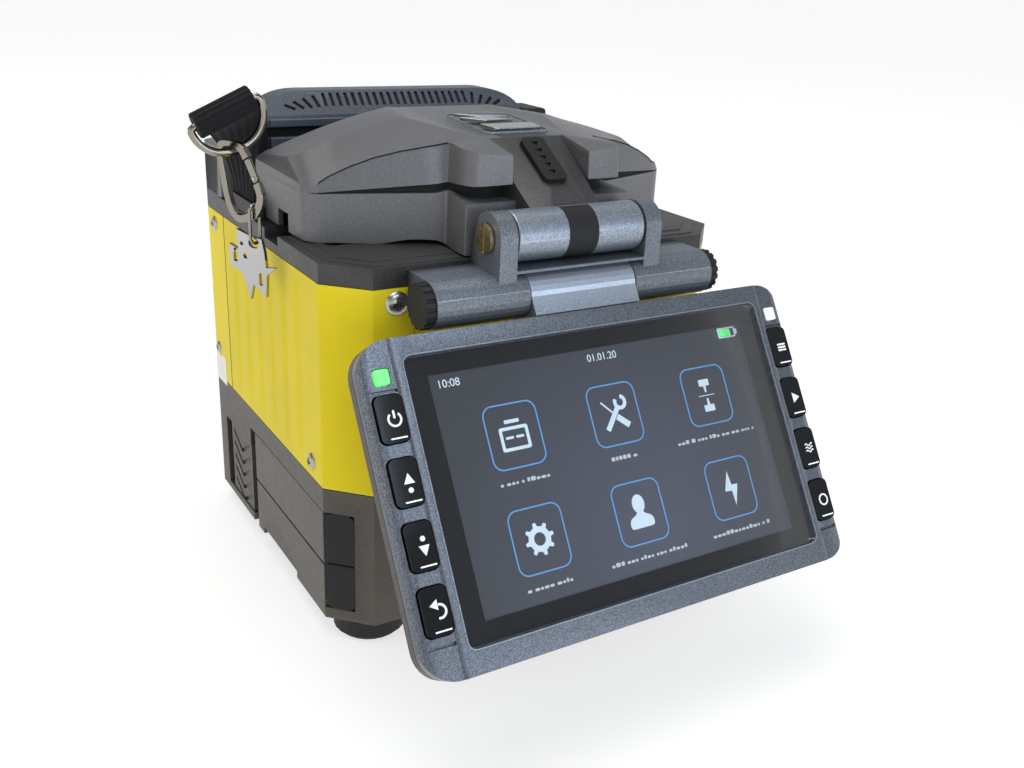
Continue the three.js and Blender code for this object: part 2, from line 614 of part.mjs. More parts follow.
function addHeater() {
  const { front, rear, baseTop, lidBottom, top, half } = HEATER;
  const base = box([-half, half], [front, rear], [132.5 + GAP, baseTop]);
  const bed = box([-half - 1, half + 1], [front + 4, rear - 4], [136, baseTop + 1]);
  place('heater_base', cut(base, bed), 'black');
  const trough = polygon([
    [front + 4.4, 136.4], [rear - 4.4, 136.4], [rear - 4.4, 142], [rear - 5.6, 142],
    [rear - 6.5, 138], [front + 6.5, 138], [front + 5.6, 142], [front + 4.4, 142],
  ]);
  place('heater_channel', bar(trough, [-40, 40]), 'aluminium');
  const outside = hull(mirrored([
    [half, front, lidBottom], [half, rear, lidBottom], [half, front + 1, 148], [half, rear, 148],
    [36, front + 8, top], [36, rear, top], [46, front + 4, 152.5], [46, rear, 152.5],
  ]));
  const hollow = box([-46, 46], [front + 3, rear - 3], [lidBottom - 1, 148]);
  place('heater_lid', cut(outside, hollow), 'darkPlastic');
}

// ---- Strap end and what hangs on it ----

const rollAxis = new THREE.Vector3(Math.cos(CHAIN.angle), 0, Math.sin(CHAIN.angle));
const rollDown = new THREE.Vector3(Math.sin(CHAIN.angle), 0, -Math.cos(CHAIN.angle));
const rollCentre = new THREE.Vector3(...CHAIN.roll);

// A flat webbing that leaves the frame's edge and twists up to the roll.
function strapWebbing() {
  const rings = [];
  const steps = 8;
  const foot = new THREE.Vector3(-67.4, 78, 126.9);
  const top = rollCentre.clone().add(new THREE.Vector3(1.4, 2.4, -1.6));
  const footWide = new THREE.Vector3(0, -10, 0);
  const topWide = rollAxis.clone().multiplyScalar(CHAIN.halfWidth);
  for (let i = 0; i <= steps; i += 1) {
    const t = i / steps;
    const centre = foot.clone().lerp(top, t);
    centre.x -= 3 * Math.sin(Math.PI * t);
    const wide = footWide.clone().lerp(topWide, t).setLength(CHAIN.halfWidth);
    const rise = top.clone().sub(foot).normalize();
    const thick = new THREE.Vector3().crossVectors(wide, rise).setLength(1.1);
    rings.push([
      centre.clone().sub(wide).sub(thick), centre.clone().add(wide).sub(thick),
      centre.clone().add(wide).add(thick), centre.clone().sub(wide).add(thick),
    ]);
  }
  const ribbon = loft(rings);
  const solid = ribbon.volume() > 0 ? ribbon : loft(rings.map((ring) => ring.slice().reverse()));
  return cut(join(solid, alongRoll(4, CHAIN.halfWidth)), alongRoll(1.9, 12));
}

function alongRoll(radius, half) {
  const geometry = new THREE.CylinderGeometry(radius, radius, 2 * half, 16);
  const turn = new THREE.Quaternion().setFromUnitVectors(new THREE.Vector3(0, 1, 0), rollAxis);
  return toSolid(geometry.applyQuaternion(turn).translate(rollCentre.x, rollCentre.y, rollCentre.z));
}

// The ring's centre line: a straight bar in the webbing and a half circle below it.
function ringPoint(along, down) {
  return rollCentre.clone().addScaledVector(rollAxis, along).addScaledVector(rollDown, down);
}

const RING = { radius: 11, straight: 4 };

function dRing() {
  const { radius, straight } = RING;
  const points = [-9.6, -4.8, 0, 4.8, 9.6].map((along) => ringPoint(along, 0));
  points.push(ringPoint(radius, 1.4));
  const steps = 16;
  for (let i = 0; i <= steps; i += 1) {
    const angle = (i / steps) * Math.PI;
    points.push(ringPoint(radius * Math.cos(angle), straight + radius * Math.sin(angle)));
  }
  points.push(ringPoint(-radius, 1.4));
  return wireLoop(points, CHAIN.wire, new THREE.Vector3(0, 1, 0));
}

// The lowest point of the ring's wire, where the hook hangs.
const HANG = ringPoint(0, RING.straight).add(new THREE.Vector3(0, 0, -RING.radius));

// A group whose local x runs along `heading` degrees from +X and whose local z is up.
function hangingGroup(point, heading) {
  const group = new THREE.Group();
  group.position.copy(point);
  group.rotation.z = THREE.MathUtils.degToRad(heading);
  part.add(group);
  return group;
}

const HOOK_HEADING = -52;

// Turns a point in the hook's own plane into the part's space.
function onHook(x, z) {
  const angle = THREE.MathUtils.degToRad(HOOK_HEADING);
  return new THREE.Vector3(HANG.x + x * Math.cos(angle), HANG.y + x * Math.sin(angle), HANG.z + z);
}

// The hook's gated side: a line down its outer edge, with places `along` it and `out` from it.
const GATE = { top: [8.2, 4.6], foot: [18, -12.5], from: 5.4, to: 15, pivot: 13.1, thick: 2.4 };

function gatePoint(along, out) {
  const top = new THREE.Vector2(...GATE.top);
  const down = new THREE.Vector2(...GATE.foot).sub(top).normalize();
  return [top.x + down.x * along - down.y * out, top.y + down.y * along + down.x * out];
}

function gateBlock(from, to, inner, outer) {
  return polygon([gatePoint(from, inner), gatePoint(from, outer), gatePoint(to, outer), gatePoint(to, inner)]);
}

function snapHook() {
  const outer = layer(polygon([
    [-5.4, 1], [-4.2, 4.4], GATE.top, GATE.foot, [17.6, -17], [13.5, -22.5], [4.5, -25.5], [-0.8, -22], [-3.6, -14],
  ]), [-1, 1]);
  const inner = layer(polygon([
    [-2.9, -1.6], [-2.9, 1.9], [6, 1.9], [14.8, -13], [14.4, -16], [11.2, -20], [4.8, -22.4], [1.8, -20.5], [-0.8, -13],
  ]), [-2, 2]);
  return cut(outer, inner, layer(gateBlock(GATE.from, GATE.to, -4.5, 1), [-2, 2]));
}

function snapGate() {
  return layer(gateBlock(GATE.from + GAP, GATE.pivot + 1, -GAP - GATE.thick, -GAP), [-0.9, 0.9]);
}

// A long wire eye through the hook's lower edge and the tag's eye.
function wireLink(points) {
  return wireLoop(points, 0.75, new THREE.Vector3(0, 1, 0), 6);
}

function toolTag() {
  const outline = polygon([
    [-2, 2.6], [3.2, 2], [4.4, -3], [5, -9], [9.6, -8.4], [5.2, -12], [4.6, -21], [-1.4, -16.6], [-3, -23],
    [-6.4, -12.6], [-12, -10.4], [-12.4, -1.6], [-8, -3.4], [-8.6, 4.6],
  ]);
  const eye = new THREE.CylinderGeometry(1.9, 1.9, 6, 16);
  const windows = [
    layer(roundedRect(2, 4, 0.6, -9.4, -6.4), [-2, 2], 2), layer(roundedRect(1.8, 5, 0.6, 2.4, -14), [-2, 2], 2),
  ];
  return cut(layer(outline, [-0.8, 0.8]), toSolid(eye), ...windows);
}

function addStrap() {
  place('strap_anchor', box([-69.1, -65.5], [66.5, 89.5], [BODY.rim + GAP, 126.4]), 'black');
  place('strap_webbing', strapWebbing(), 'webbing');
  place('strap_d_ring', dRing(), 'nickel');
  const hook = hangingGroup(HANG, HOOK_HEADING);
  place('snap_hook', snapHook(), 'nickel', hook);
  place('snap_gate', snapGate(), 'nickel', hook);
  const linkTop = onHook(12.4, -21.2);
  const link = hangingGroup(linkTop, 18);
  const eye = [];
  const [half, drop, steps] = [2.6, 9.5, 6];
  for (let i = 0; i <= steps; i += 1) {
    const angle = (i / steps) * Math.PI;
    eye.push(new THREE.Vector3(half * Math.cos(angle), 0, 2.6 + half * Math.sin(angle)));
  }
  for (let i = 0; i <= steps; i += 1) {
    const angle = Math.PI + (i / steps) * Math.PI;
    eye.push(new THREE.Vector3(half * Math.cos(angle), 0, -drop + half * Math.sin(angle)));
  }
  place('wire_link', wireLink(eye), 'nickel', link);
  const tag = hangingGroup(linkTop.clone().add(new THREE.Vector3(0, 0, -12.1)), -72);
  place('tool_tag', toolTag(), 'chrome', tag);
}

addBase();
addPanels();
addFrame();
addScreen();
addCover();
addDeck();
addFeeds();
addHeater();
addStrap();

// The origin sits under the middle of the whole object's outline.
part.updateMatrixWorld(true);
const bounds = new THREE.Box3().setFromObject(part, true);
const middle = bounds.getCenter(new THREE.Vector3());
const assembly = new THREE.Group();
part.position.set(-middle.x, -middle.y, 0);
assembly.add(part);

export default assembly;
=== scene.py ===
"""The looks of a fiber fusion splicer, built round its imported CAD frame."""

import json
import math
import random

import bmesh
import bpy
from mathutils import Matrix, Vector


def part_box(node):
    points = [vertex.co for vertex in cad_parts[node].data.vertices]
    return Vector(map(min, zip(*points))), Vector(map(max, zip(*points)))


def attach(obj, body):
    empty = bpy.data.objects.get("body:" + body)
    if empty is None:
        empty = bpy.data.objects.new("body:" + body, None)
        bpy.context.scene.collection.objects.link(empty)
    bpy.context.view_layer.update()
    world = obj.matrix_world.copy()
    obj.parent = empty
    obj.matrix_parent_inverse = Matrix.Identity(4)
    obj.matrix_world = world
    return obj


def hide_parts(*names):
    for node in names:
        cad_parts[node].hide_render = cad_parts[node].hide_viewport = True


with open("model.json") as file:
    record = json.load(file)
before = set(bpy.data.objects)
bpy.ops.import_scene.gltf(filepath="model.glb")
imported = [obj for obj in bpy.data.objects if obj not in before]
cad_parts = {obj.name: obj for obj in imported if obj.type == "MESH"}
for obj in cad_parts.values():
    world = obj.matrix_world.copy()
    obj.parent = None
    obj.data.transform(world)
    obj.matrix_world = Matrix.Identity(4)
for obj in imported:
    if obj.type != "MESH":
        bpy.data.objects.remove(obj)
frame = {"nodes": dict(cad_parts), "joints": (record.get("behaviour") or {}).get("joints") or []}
NODES = frame["nodes"]
JOINTS = {joint["name"]: joint for joint in frame["joints"]}
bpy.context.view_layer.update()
random.seed(7)

# ---- Places, all in millimetres from the middle of the body's front edge on the table ----

MM = 0.001
base_low, base_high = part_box("lower_base")
BODY = Matrix.Translation(((base_low.x + base_high.x) / 2, base_low.y, 0)) @ Matrix.Scale(MM, 4)

# The screen's own upright frame: x across, y into it and z up its face, from the lit area's middle.
into_screen = Vector(JOINTS["key_power_press"]["axis"])
TILT = math.atan2(-into_screen.z, into_screen.y)
panel_low, panel_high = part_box("display_panel")
PANEL_MIDDLE = 4.05  # how far the display panel's middle lies behind the bezel's face
SCREEN = (
    Matrix.Translation((panel_low + panel_high) / 2 - into_screen * PANEL_MIDDLE * MM)
    @ Matrix.Rotation(-TILT, 4, "X")
    @ Matrix.Scale(MM, 4)
)


# ---- Camera, floor and light ----

def placed(name, data):
    """A new object in the scene that shows the data."""
    thing = bpy.data.objects.new(name, data)
    bpy.context.scene.collection.objects.link(thing)
    return thing


def add_camera():
    """The camera stands 0.37 m away, to the left and above, rolled by a few degrees."""
    azimuth, elevation, roll = (math.radians(a) for a in (-31.944, 21.641, 2.769))
    back = Vector((
        math.sin(azimuth) * math.cos(elevation),
        -math.cos(azimuth) * math.cos(elevation),
        math.sin(elevation),
    ))
    right = (-back).cross(Vector((0, 0, 1))).normalized()
    up = right.cross(-back)
    rolled_right = right * math.cos(roll) + up * math.sin(roll)
    rolled_up = up * math.cos(roll) - right * math.sin(roll)
    data = bpy.data.cameras.new("camera")
    data.sensor_width = 36
    data.lens = 36.93
    data.clip_start = 0.01
    camera = placed("camera", data)
    turn = Matrix((rolled_right, rolled_up, back)).transposed().to_4x4()
    camera.matrix_world = Matrix.Translation(BODY @ Vector((-170.31, -254.38, 199.45))) @ turn
    bpy.context.scene.camera = camera


def add_light(name, place, size, power, colour):
    data = bpy.data.lights.new(name, "AREA")
    data.shape = "RECTANGLE"
    data.size, data.size_y = size
    data.energy = power
    data.color = colour
    light = placed(name, data)
    target = Vector((0, 0, 0.08))
    light.location = place
    light.rotation_euler = (target - Vector(place)).to_track_quat("-Z", "Y").to_euler()


def add_studio():
    """A softly glowing floor that rises into a bowl far away, a white sky and soft boxes."""
    profile = [(0.5, 0), (2.0, 0), (2.2, 0.004), (3.0, 0.05), (3.5, 0.16), (3.8, 0.32)]
    steps = 96
    vertices = [
        (r * math.cos(2 * math.pi * i / steps), r * math.sin(2 * math.pi * i / steps), z)
        for r, z in profile for i in range(steps)
    ]
    faces = [tuple(range(steps))]
    for ring in range(len(profile) - 1):
        for i in range(steps):
            j = (i + 1) % steps
            a = ring * steps
            faces.append((a + i, a + steps + i, a + steps + j, a + j))
    mesh = bpy.data.meshes.new("studio_floor")
    mesh.from_pydata(vertices, [], faces)
    mesh.shade_smooth()
    floor = placed("studio_floor", mesh)
    graph = Graph("studio_floor")
    far = graph.ramp(graph.distance(graph.coords), 0.70, 0.80, 0.05, 1.5)
    pale = graph.ramp(graph.noise(6, 3.0), (0.33, 0.33, 0.335), (0.35, 0.35, 0.35), 0.3, 0.7)
    graph.set(base_color=pale, roughness=0.6, emission_color=(1, 1, 1, 1), emission_strength=far)
    mesh.materials.append(graph.material)
    world = bpy.data.worlds.new("sky")
    world.use_nodes = True
    tree = world.node_tree
    sky = tree.nodes["Background"]
    sky.inputs["Color"].default_value = (0.93, 0.96, 1.0, 1)
    direction = tree.nodes.new("ShaderNodeTexCoord")
    height = tree.nodes.new("ShaderNodeSeparateXYZ")
    fade = tree.nodes.new("ShaderNodeMapRange")
    tree.links.new(direction.outputs["Generated"], height.inputs[0])
    tree.links.new(height.outputs["Z"], fade.inputs["Value"])
    for key, number in (("From Min", 0.12), ("From Max", 0.3), ("To Min", 1.1), ("To Max", 0.3)):
        fade.inputs[key].default_value = number
    tree.links.new(fade.outputs["Result"], sky.inputs["Strength"])
    bpy.context.scene.world = world
    add_light("top_box", (-0.15, 0.15, 1.3), (1.2, 1.0), 12, (1.0, 0.98, 0.95))
    add_light("window_box", (0.05, -1.2, 1.12), (1.0, 0.6), 6.0, (0.70, 0.84, 1.0))
    add_light("left_box", (-1.4, -0.2, 0.5), (0.7, 0.7), 1.2, (1.0, 0.94, 0.84))
    add_light("front_box", (0.35, -1.15, 0.28), (0.9, 0.3), 2.6, (0.72, 0.86, 1.0))
    bpy.context.scene.view_settings.view_transform = "Standard"


# ---- Materials ----

class Graph:
    """A material's node graph, with short calls that add and join its nodes."""

    def __init__(self, name):
        self.material = bpy.data.materials.new(name)
        self.material.use_nodes = True
        tree = self.material.node_tree
        self.nodes, self.links = tree.nodes, tree.links
        self.nodes.clear()
        self.shader = self.nodes.new("ShaderNodeBsdfPrincipled")
        self.output = self.nodes.new("ShaderNodeOutputMaterial")
        self.links.new(self.shader.outputs[0], self.output.inputs[0])
        self.coords = self.nodes.new("ShaderNodeTexCoord").outputs["Object"]

    def feed(self, socket, value):
        if isinstance(value, bpy.types.NodeSocket):
            self.links.new(value, socket)
        else:
            socket.default_value = value

    def set(self, **values):
        """Sets the shader's sockets by name, such as base_color or roughness."""
        for key, value in values.items():
            name = {"specular": "Specular IOR Level"}.get(key)
            self.feed(self.shader.inputs[name or key.replace("_", " ").title()], value)

    def add(self, kind, inputs, **settings):
        """A new node whose inputs are fed by name or number, after its settings."""
        node = self.nodes.new(f"ShaderNode{kind}")
        for key, value in settings.items():
            setattr(node, key, value)
        for key, value in inputs.items():
            self.feed(node.inputs[key], value)
        return node

    def stretched(self, factors):
        return self.add("Mapping", {"Scale": factors, "Vector": self.coords}).outputs[0]

    def noise(self, scale, detail=2.0, where=None):
        inputs = {"Scale": scale, "Detail": detail, "Vector": where or self.coords}
        return self.add("TexNoise", inputs).outputs["Fac"]

    def ramp(self, value, low, high, start=0.0, end=1.0):
        """value from start to end turned into a colour or grey from low to high."""
        if hasattr(low, "__len__"):
            node = self.add("ValToRGB", {0: value})
            ends = node.color_ramp.elements
            ends[0].position, ends[1].position = start, end
            ends[0].color, ends[1].color = (*low, 1), (*high, 1)
            return node.outputs[0]
        limits = {"From Min": start, "From Max": end, "To Min": low, "To Max": high}
        return self.add("MapRange", {**limits, "Value": value}).outputs["Result"]

    def mix(self, share, first, second):
        first, second = (
            value if isinstance(value, bpy.types.NodeSocket) else (*value, 1) for value in (first, second)
        )
        return self.add("Mix", {0: share, 6: first, 7: second}, data_type="RGBA").outputs[2]

    def math(self, operation, first, second=0.5):
        return self.add("Math", {0: first, 1: second}, operation=operation).outputs[0]

    def distance(self, place):
        """How far a place is from the origin, in metres."""
        return self.add("VectorMath", {0: place}, operation="LENGTH").outputs["Value"]

    def bump(self, height, strength, distance=0.0001):
        node = self.add("Bump", {"Strength": strength, "Distance": distance, "Height": height})
        self.links.new(node.outputs[0], self.shader.inputs["Normal"])

    def worn_and_highlit_edges(self, colour, bright, edge_wear_and_highlight):
        """The colour, made bright where the mesh's pointiness says that an edge stands out: partly edge wear,
        partly a painted highlight.
        """
        pointiness = self.add("NewGeometry", {}).outputs["Pointiness"]
        edges = self.ramp(pointiness, 0.0, 1.0, 0.52, 0.62)
        return self.mix(self.math("MULTIPLY", edges, edge_wear_and_highlight), colour, bright)


def tinted(colour, factor, plus=0.0):
    """A darker or lighter colour, at most white."""
    return tuple(min(1, c * factor + plus) for c in colour)


def fleck_paint(graph, dark, light, metal, rough, ahead=None, grain=2600, edge_wear_and_highlight=0.35):
    """Metallic paint with visible flecks, clouded slightly and bright on its edges, partly as wear and partly
    as a painted highlight.

    `ahead` gives the flecks' two colours on the hinge parts in front of the body: lighter, cooler colours
    that are a painted reflection of the window.
    """
    fleck = graph.noise(grain, 1.0)
    cloud = graph.noise(28, 3.0)
    colour = graph.ramp(fleck, dark, light, 0.36, 0.68)
    if ahead:
        # In front of the body's front face the flecks take the lighter, cooler colours: a painted reflection
        # of the window.
        parts = graph.add("SeparateXYZ", {0: graph.coords})
        edge = (BODY @ Vector((0, -1, 0))).y
        share = graph.ramp(parts.outputs["Y"], 1.0, 0.0, edge - 0.004, edge + 0.001)
        colour = graph.mix(share, colour, graph.ramp(fleck, *ahead, 0.36, 0.68))
    colour = graph.mix(graph.ramp(cloud, 0.0, 0.28, 0.35, 0.75), colour, tinted(dark, 0.82))
    colour = graph.worn_and_highlit_edges(colour, tinted(light, 1.7), edge_wear_and_highlight)
    roughness = graph.ramp(graph.noise(420, 2.0), rough - 0.06, rough + 0.1)
    graph.set(base_color=colour, metallic=metal, roughness=roughness)
    graph.bump(graph.noise(grain * 0.55, 2.0), 0.22, 0.00006)


def satin_paint(graph, colour, rough):
    """Smooth powder paint with a faint orange peel, soft clouds, small scuffs and lighter edges, partly wear
    and partly painted highlight.
    """
    cloud = graph.noise(22, 4.0)
    shade = graph.ramp(cloud, tinted(colour, 0.9), tinted(colour, 1.04, 0.004), 0.3, 0.7)
    scuff = graph.ramp(graph.noise(260, 6.0, graph.stretched((1, 1, 0.18))), 0.0, 0.35, 0.66, 0.8)
    shade = graph.mix(scuff, shade, tinted(colour, 0.78))
    shade = graph.worn_and_highlit_edges(shade, tinted(colour, 1.2, 0.05), 0.25)
    graph.set(base_color=shade, roughness=graph.ramp(cloud, rough - 0.05, rough + 0.07), specular=0.14)
    graph.bump(graph.noise(900, 2.0), 0.1, 0.00008)


def moulded(graph, colour, rough, grain=1500, strength=0.25, light=1.6):
    """Moulded plastic with a spark-eroded grain and lighter edges, partly wear and partly painted highlight.
    """
    spots = graph.noise(grain, 3.0)
    shade = graph.ramp(spots, tinted(colour, 0.75), tinted(colour, 1.25), 0.3, 0.7)
    shade = graph.worn_and_highlit_edges(shade, tinted(colour, light, 0.01), 0.4)
    worn = graph.ramp(graph.noise(120, 3.0), rough - 0.07, rough + 0.07)
    graph.set(base_color=shade, roughness=worn, specular=0.28)
    graph.bump(spots, strength, 0.00008)


def gloss(graph, colour, rough=0.09, coat=0.4):
    """Glossy plastic with faint swirls in its shine and a little dust in its colour."""
    swirl = graph.noise(60, 5.0)
    dust = graph.ramp(graph.noise(700, 4.0), 0.0, 0.3, 0.62, 0.78)
    shade = graph.mix(dust, colour, tinted(colour, 1.5, 0.02))
    uneven = graph.ramp(swirl, rough * 0.7, rough * 1.5)
    graph.set(base_color=shade, roughness=uneven, coat_weight=coat, coat_roughness=0.08, specular=0.25)
    graph.bump(swirl, 0.03, 0.0002)


def metal(graph, colour, rough, brush=(1, 1, 1), grain=900, strength=0.08):
    """Bare or plated metal, brushed along the axis where `brush` is small."""
    streak = graph.noise(grain, 4.0, graph.stretched(brush))
    stain = graph.noise(45, 4.0)
    shade = graph.mix(graph.ramp(stain, 0.0, 0.5, 0.45, 0.8), colour, tinted(colour, 0.72))
    graph.set(base_color=shade, metallic=1.0, roughness=graph.ramp(streak, rough * 0.6, rough * 1.6))
    graph.bump(streak, strength, 0.00006)


def lit(graph, colour, strength, haze=0.08):
    """A lit window or picture element, slightly uneven in brightness."""
    glow = graph.noise(300, 1.0)
    shade = graph.ramp(glow, tinted(colour, 1 - haze), colour, 0.3, 0.7)
    graph.set(base_color=shade, roughness=0.35, emission_color=shade, emission_strength=strength)


def clear_glass(graph):
    """Clear glass: see-through head on and mirror-like towards grazing angles."""
    clear = graph.add("BsdfTransparent", {}).outputs[0]
    smears = graph.ramp(graph.noise(35, 5.0), 0.015, 0.06, 0.3, 0.7)
    shine = graph.add("BsdfGlossy", {"Roughness": smears}).outputs[0]
    fresnel = graph.add("Fresnel", {"IOR": 1.5}).outputs[0]
    share = graph.add("MixShader", {0: graph.math("MULTIPLY", fresnel, 0.4), 1: clear, 2: shine})
    graph.links.new(share.outputs[0], graph.output.inputs[0])


def backlight_with_painted_haze(graph):
    """The display's backlit ground: dark blue-grey, lighter towards its middle right, where a painted
    reflection haze stands for the glass's reflection.
    """
    middle = SCREEN @ Vector((8, 0, -16))
    place = graph.add("Mapping", {"Location": -middle, "Vector": graph.coords}).outputs[0]
    glow = graph.ramp(graph.distance(place), (0.085, 0.100, 0.150), (0.026, 0.028, 0.032), 0.006, 0.075)
    haze = graph.noise(40, 2.0)
    glow = graph.mix(graph.ramp(haze, 0.0, 0.2, 0.35, 0.7), glow, (0.05, 0.055, 0.07))
    graph.set(base_color=(0.01, 0.011, 0.014, 1), roughness=0.4, emission_color=glow, emission_strength=0.75)


def circuit_board(graph):
    """Green lacquer over a fine pattern of tracks."""
    checks = graph.add("TexBrick", {
        "Vector": graph.coords, "Scale": 260, "Mortar Size": 0.06, "Color1": (0.01, 0.09, 0.03, 1),
        "Color2": (0.012, 0.12, 0.04, 1), "Mortar": (0.05, 0.25, 0.1, 1),
    })
    graph.set(base_color=checks.outputs["Color"], roughness=graph.ramp(graph.noise(300), 0.25, 0.45))
    graph.bump(checks.outputs["Fac"], 0.2, 0.00005)


def woven(graph, colour):
    """Webbing: ribs along the strap and a fine weave across them."""
    inputs = {"Scale": 900, "Distortion": 0.2, "Vector": graph.coords}
    bands = graph.add("TexWave", inputs, wave_type="BANDS", bands_direction="DIAGONAL").outputs["Fac"]
    shade = graph.ramp(bands, tinted(colour, 0.8), tinted(colour, 1.3))
    shade = graph.mix(graph.ramp(graph.noise(2200, 3.0), 0.0, 0.5), shade, tinted(colour, 1.8))
    graph.set(base_color=shade, roughness=0.85, sheen_weight=0.08, sheen_roughness=0.4, specular=0.2)
    graph.bump(bands, 0.3, 0.00012)


# Every finish: the function that paints it, its name and that function's values.
# Lighter, cooler fleck colours for the top frame's hinge bar and ears in front of the body: a painted
# reflection of the window.
HINGE_REFLECTION_FLECKS = ((0.120, 0.136, 0.160), (0.270, 0.302, 0.352))
LOOKS = {}
for paint, name, *values in (
    (fleck_paint, "frame_grey", (0.030, 0.029, 0.027), (0.066, 0.065, 0.064), 0.50, 0.42, HINGE_REFLECTION_FLECKS),
    (fleck_paint, "cover_grey", (0.066, 0.065, 0.065), (0.150, 0.149, 0.154), 0.40, 0.40),
    # A darker copy of the cover's grey for the arm: painted shade.
    (fleck_paint, "arm_grey", (0.032, 0.031, 0.031), (0.070, 0.069, 0.071), 0.35, 0.44),
    # The bezel's cooler, lighter grey: a painted reflection of the window on its front.
    (fleck_paint, "bezel_grey", (0.088, 0.097, 0.113), (0.225, 0.245, 0.283), 0.65, 0.34),
    # A lighter, bluish copy of the grey paint for the hinge barrel, knuckle, glass lip and edge lines: a
    # painted reflection of the window.
    (fleck_paint, "hinge_grey", (0.200, 0.225, 0.262), (0.400, 0.445, 0.515), 0.75, 0.38),
    (fleck_paint, "tray_grey", (0.042, 0.037, 0.030), (0.088, 0.078, 0.064), 0.30, 0.46),
    (fleck_paint, "heater_grey", (0.052, 0.060, 0.077), (0.102, 0.115, 0.143), 0.30, 0.42),
    (satin_paint, "yellow", (0.77, 0.612, 0.008), 0.46),
    (moulded, "black", (0.011, 0.011, 0.012), 0.5),
    (moulded, "rubber", (0.010, 0.010, 0.0105), 0.6, 900, 0.35, 2.0),
    (gloss, "gloss_black", (0.006, 0.006, 0.007), 0.16, 0.1),
    (gloss, "key_black", (0.005, 0.005, 0.006), 0.07, 0.7),
    (metal, "steel", (0.42, 0.41, 0.39), 0.24, (0.08, 1, 1)),
    (metal, "chrome", (0.50, 0.49, 0.49), 0.13),
    (metal, "nickel", (0.31, 0.285, 0.24), 0.12),
    (metal, "brass", (0.58, 0.46, 0.24), 0.26),
    (metal, "aluminium", (0.46, 0.48, 0.50), 0.42, (0.3, 1, 1), 1400, 0.12),
    (satin_paint, "printed_black", (0.006, 0.006, 0.007), 0.55),
    (gloss, "ceramic", (0.72, 0.70, 0.64), 0.3),
    (woven, "webbing", (0.009, 0.009, 0.010)),
    (lit, "green_light", (0.12, 0.90, 0.16), 1.0),
    (lit, "white_light", (0.75, 0.82, 0.92), 0.35),
    # Printed key signs made to glow faintly: painted light.
    (lit, "ink", (0.74, 0.78, 0.82), 0.3),
    (lit, "tile_blue", (0.09, 0.25, 0.50), 0.6),
    (lit, "screen_ink", (0.46, 0.56, 0.64), 0.62),
    (lit, "screen_grey", (0.40, 0.44, 0.48), 0.55),
    (lit, "screen_green", (0.10, 0.75, 0.20), 0.8),
    # Near-black for painted shade in the cover's groove, its crease, the louvres and the heater gap, and for
    # the real dark panel seams.
    (moulded, "dark_gap", (0.004, 0.004, 0.004), 0.7),
    (gloss, "sticker", (0.75, 0.72, 0.66), 0.3),
    (circuit_board, "board_green"),
    (clear_glass, "display_glass"),
    (backlight_with_painted_haze, "display_panel"),
):
    graph = Graph(name)
    paint(graph, *values)
    LOOKS[name] = graph.material


# ---- Mesh helpers ----

# The slot that a look belongs to, where it isn't called the same.
SLOTS = {
    "dark_gap": "black_plastic", "black": "black_plastic", "heater_grey": "dark_plastic",
    "tray_grey": "dark_plastic", "frame_grey": "cast_grey", "bezel_grey": "cast_grey",
    "arm_grey": "cover_grey", "yellow": "yellow_paint", "sticker": "yellow_paint",
}


def show(name, mesh, look, body="body", bevel=0.0, segments=3, slot=None, smooth=35, replaces=(), at=BODY):
    """Puts a mesh drawn in millimetres into the scene as a piece that rides on a body."""
    mesh.transform(at)
    if at.determinant() < 0:
        mesh.flip_normals()
    piece = placed(name, mesh)
    finish(piece, look, bevel, segments, smooth)
    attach(piece, body)
    if replaces:
        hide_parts(*replaces)
    slot or SLOTS.get(look, look)


def finish(piece, look, bevel=0.0, segments=3, smooth=35):
    """Gives a piece its material, smooth shading up to an angle and rounded edges."""
    mesh = piece.data
    mesh.materials.clear()
    mesh.materials.append(LOOKS[look])
    mesh.polygons.foreach_set("use_smooth", [True] * len(mesh.polygons))
    mesh.set_sharp_from_angle(angle=math.radians(smooth))
    if bevel:
        rounding = piece.modifiers.new("rounding", "BEVEL")
        rounding.width = bevel * MM
        rounding.segments = segments
        rounding.limit_method = "ANGLE"
        rounding.angle_limit = math.radians(28)
        rounding.harden_normals = True
        rounding.use_clamp_overlap = True


def dress(node, look, bevel=0.0):
    """A CAD node that stays: coplanar faces merged, edges rounded, and a finish."""
    piece = NODES[node]
    if bevel:
        merging = piece.modifiers.new("merging", "DECIMATE")
        merging.decimate_type = "DISSOLVE"
        merging.angle_limit = math.radians(0.6)
    finish(piece, look, bevel)


def polygons(vertices, faces):
    mesh = bpy.data.meshes.new("piece")
    mesh.from_pydata([tuple(v) for v in vertices], [], faces)
    mesh.validate()
    return mesh


def outward(mesh):
    """Makes every face of a closed mesh look out."""
    work = bmesh.new()
    work.from_mesh(mesh)
    bmesh.ops.recalc_face_normals(work, faces=work.faces)
    work.to_mesh(mesh)
    work.free()
    return mesh


def merged(*meshes):
    """Several meshes as one; they may touch or cross."""
    work = bmesh.new()
    for mesh in meshes:
        work.from_mesh(mesh)
        bpy.data.meshes.remove(mesh)
    result = bpy.data.meshes.new("piece")
    work.to_mesh(result)
    work.free()
    return result


def hull(points):
    """The smallest convex solid round some points, its flat faces whole."""
    work = bmesh.new()
    for point in points:
        work.verts.new(point)
    found = bmesh.ops.convex_hull(work, input=work.verts)
    bmesh.ops.delete(work, geom=list(set(found["geom_interior"] + found["geom_unused"])), context="VERTS")
    bmesh.ops.dissolve_limit(work, angle_limit=math.radians(0.5), verts=work.verts, edges=work.edges)
    mesh = bpy.data.meshes.new("piece")
    work.to_mesh(mesh)
    work.free()
    return outward(mesh)


def both_sides(points):
    """The points and their mirror images."""
    return [p for x, y, z in points for p in ((x, y, z), (-x, y, z))]


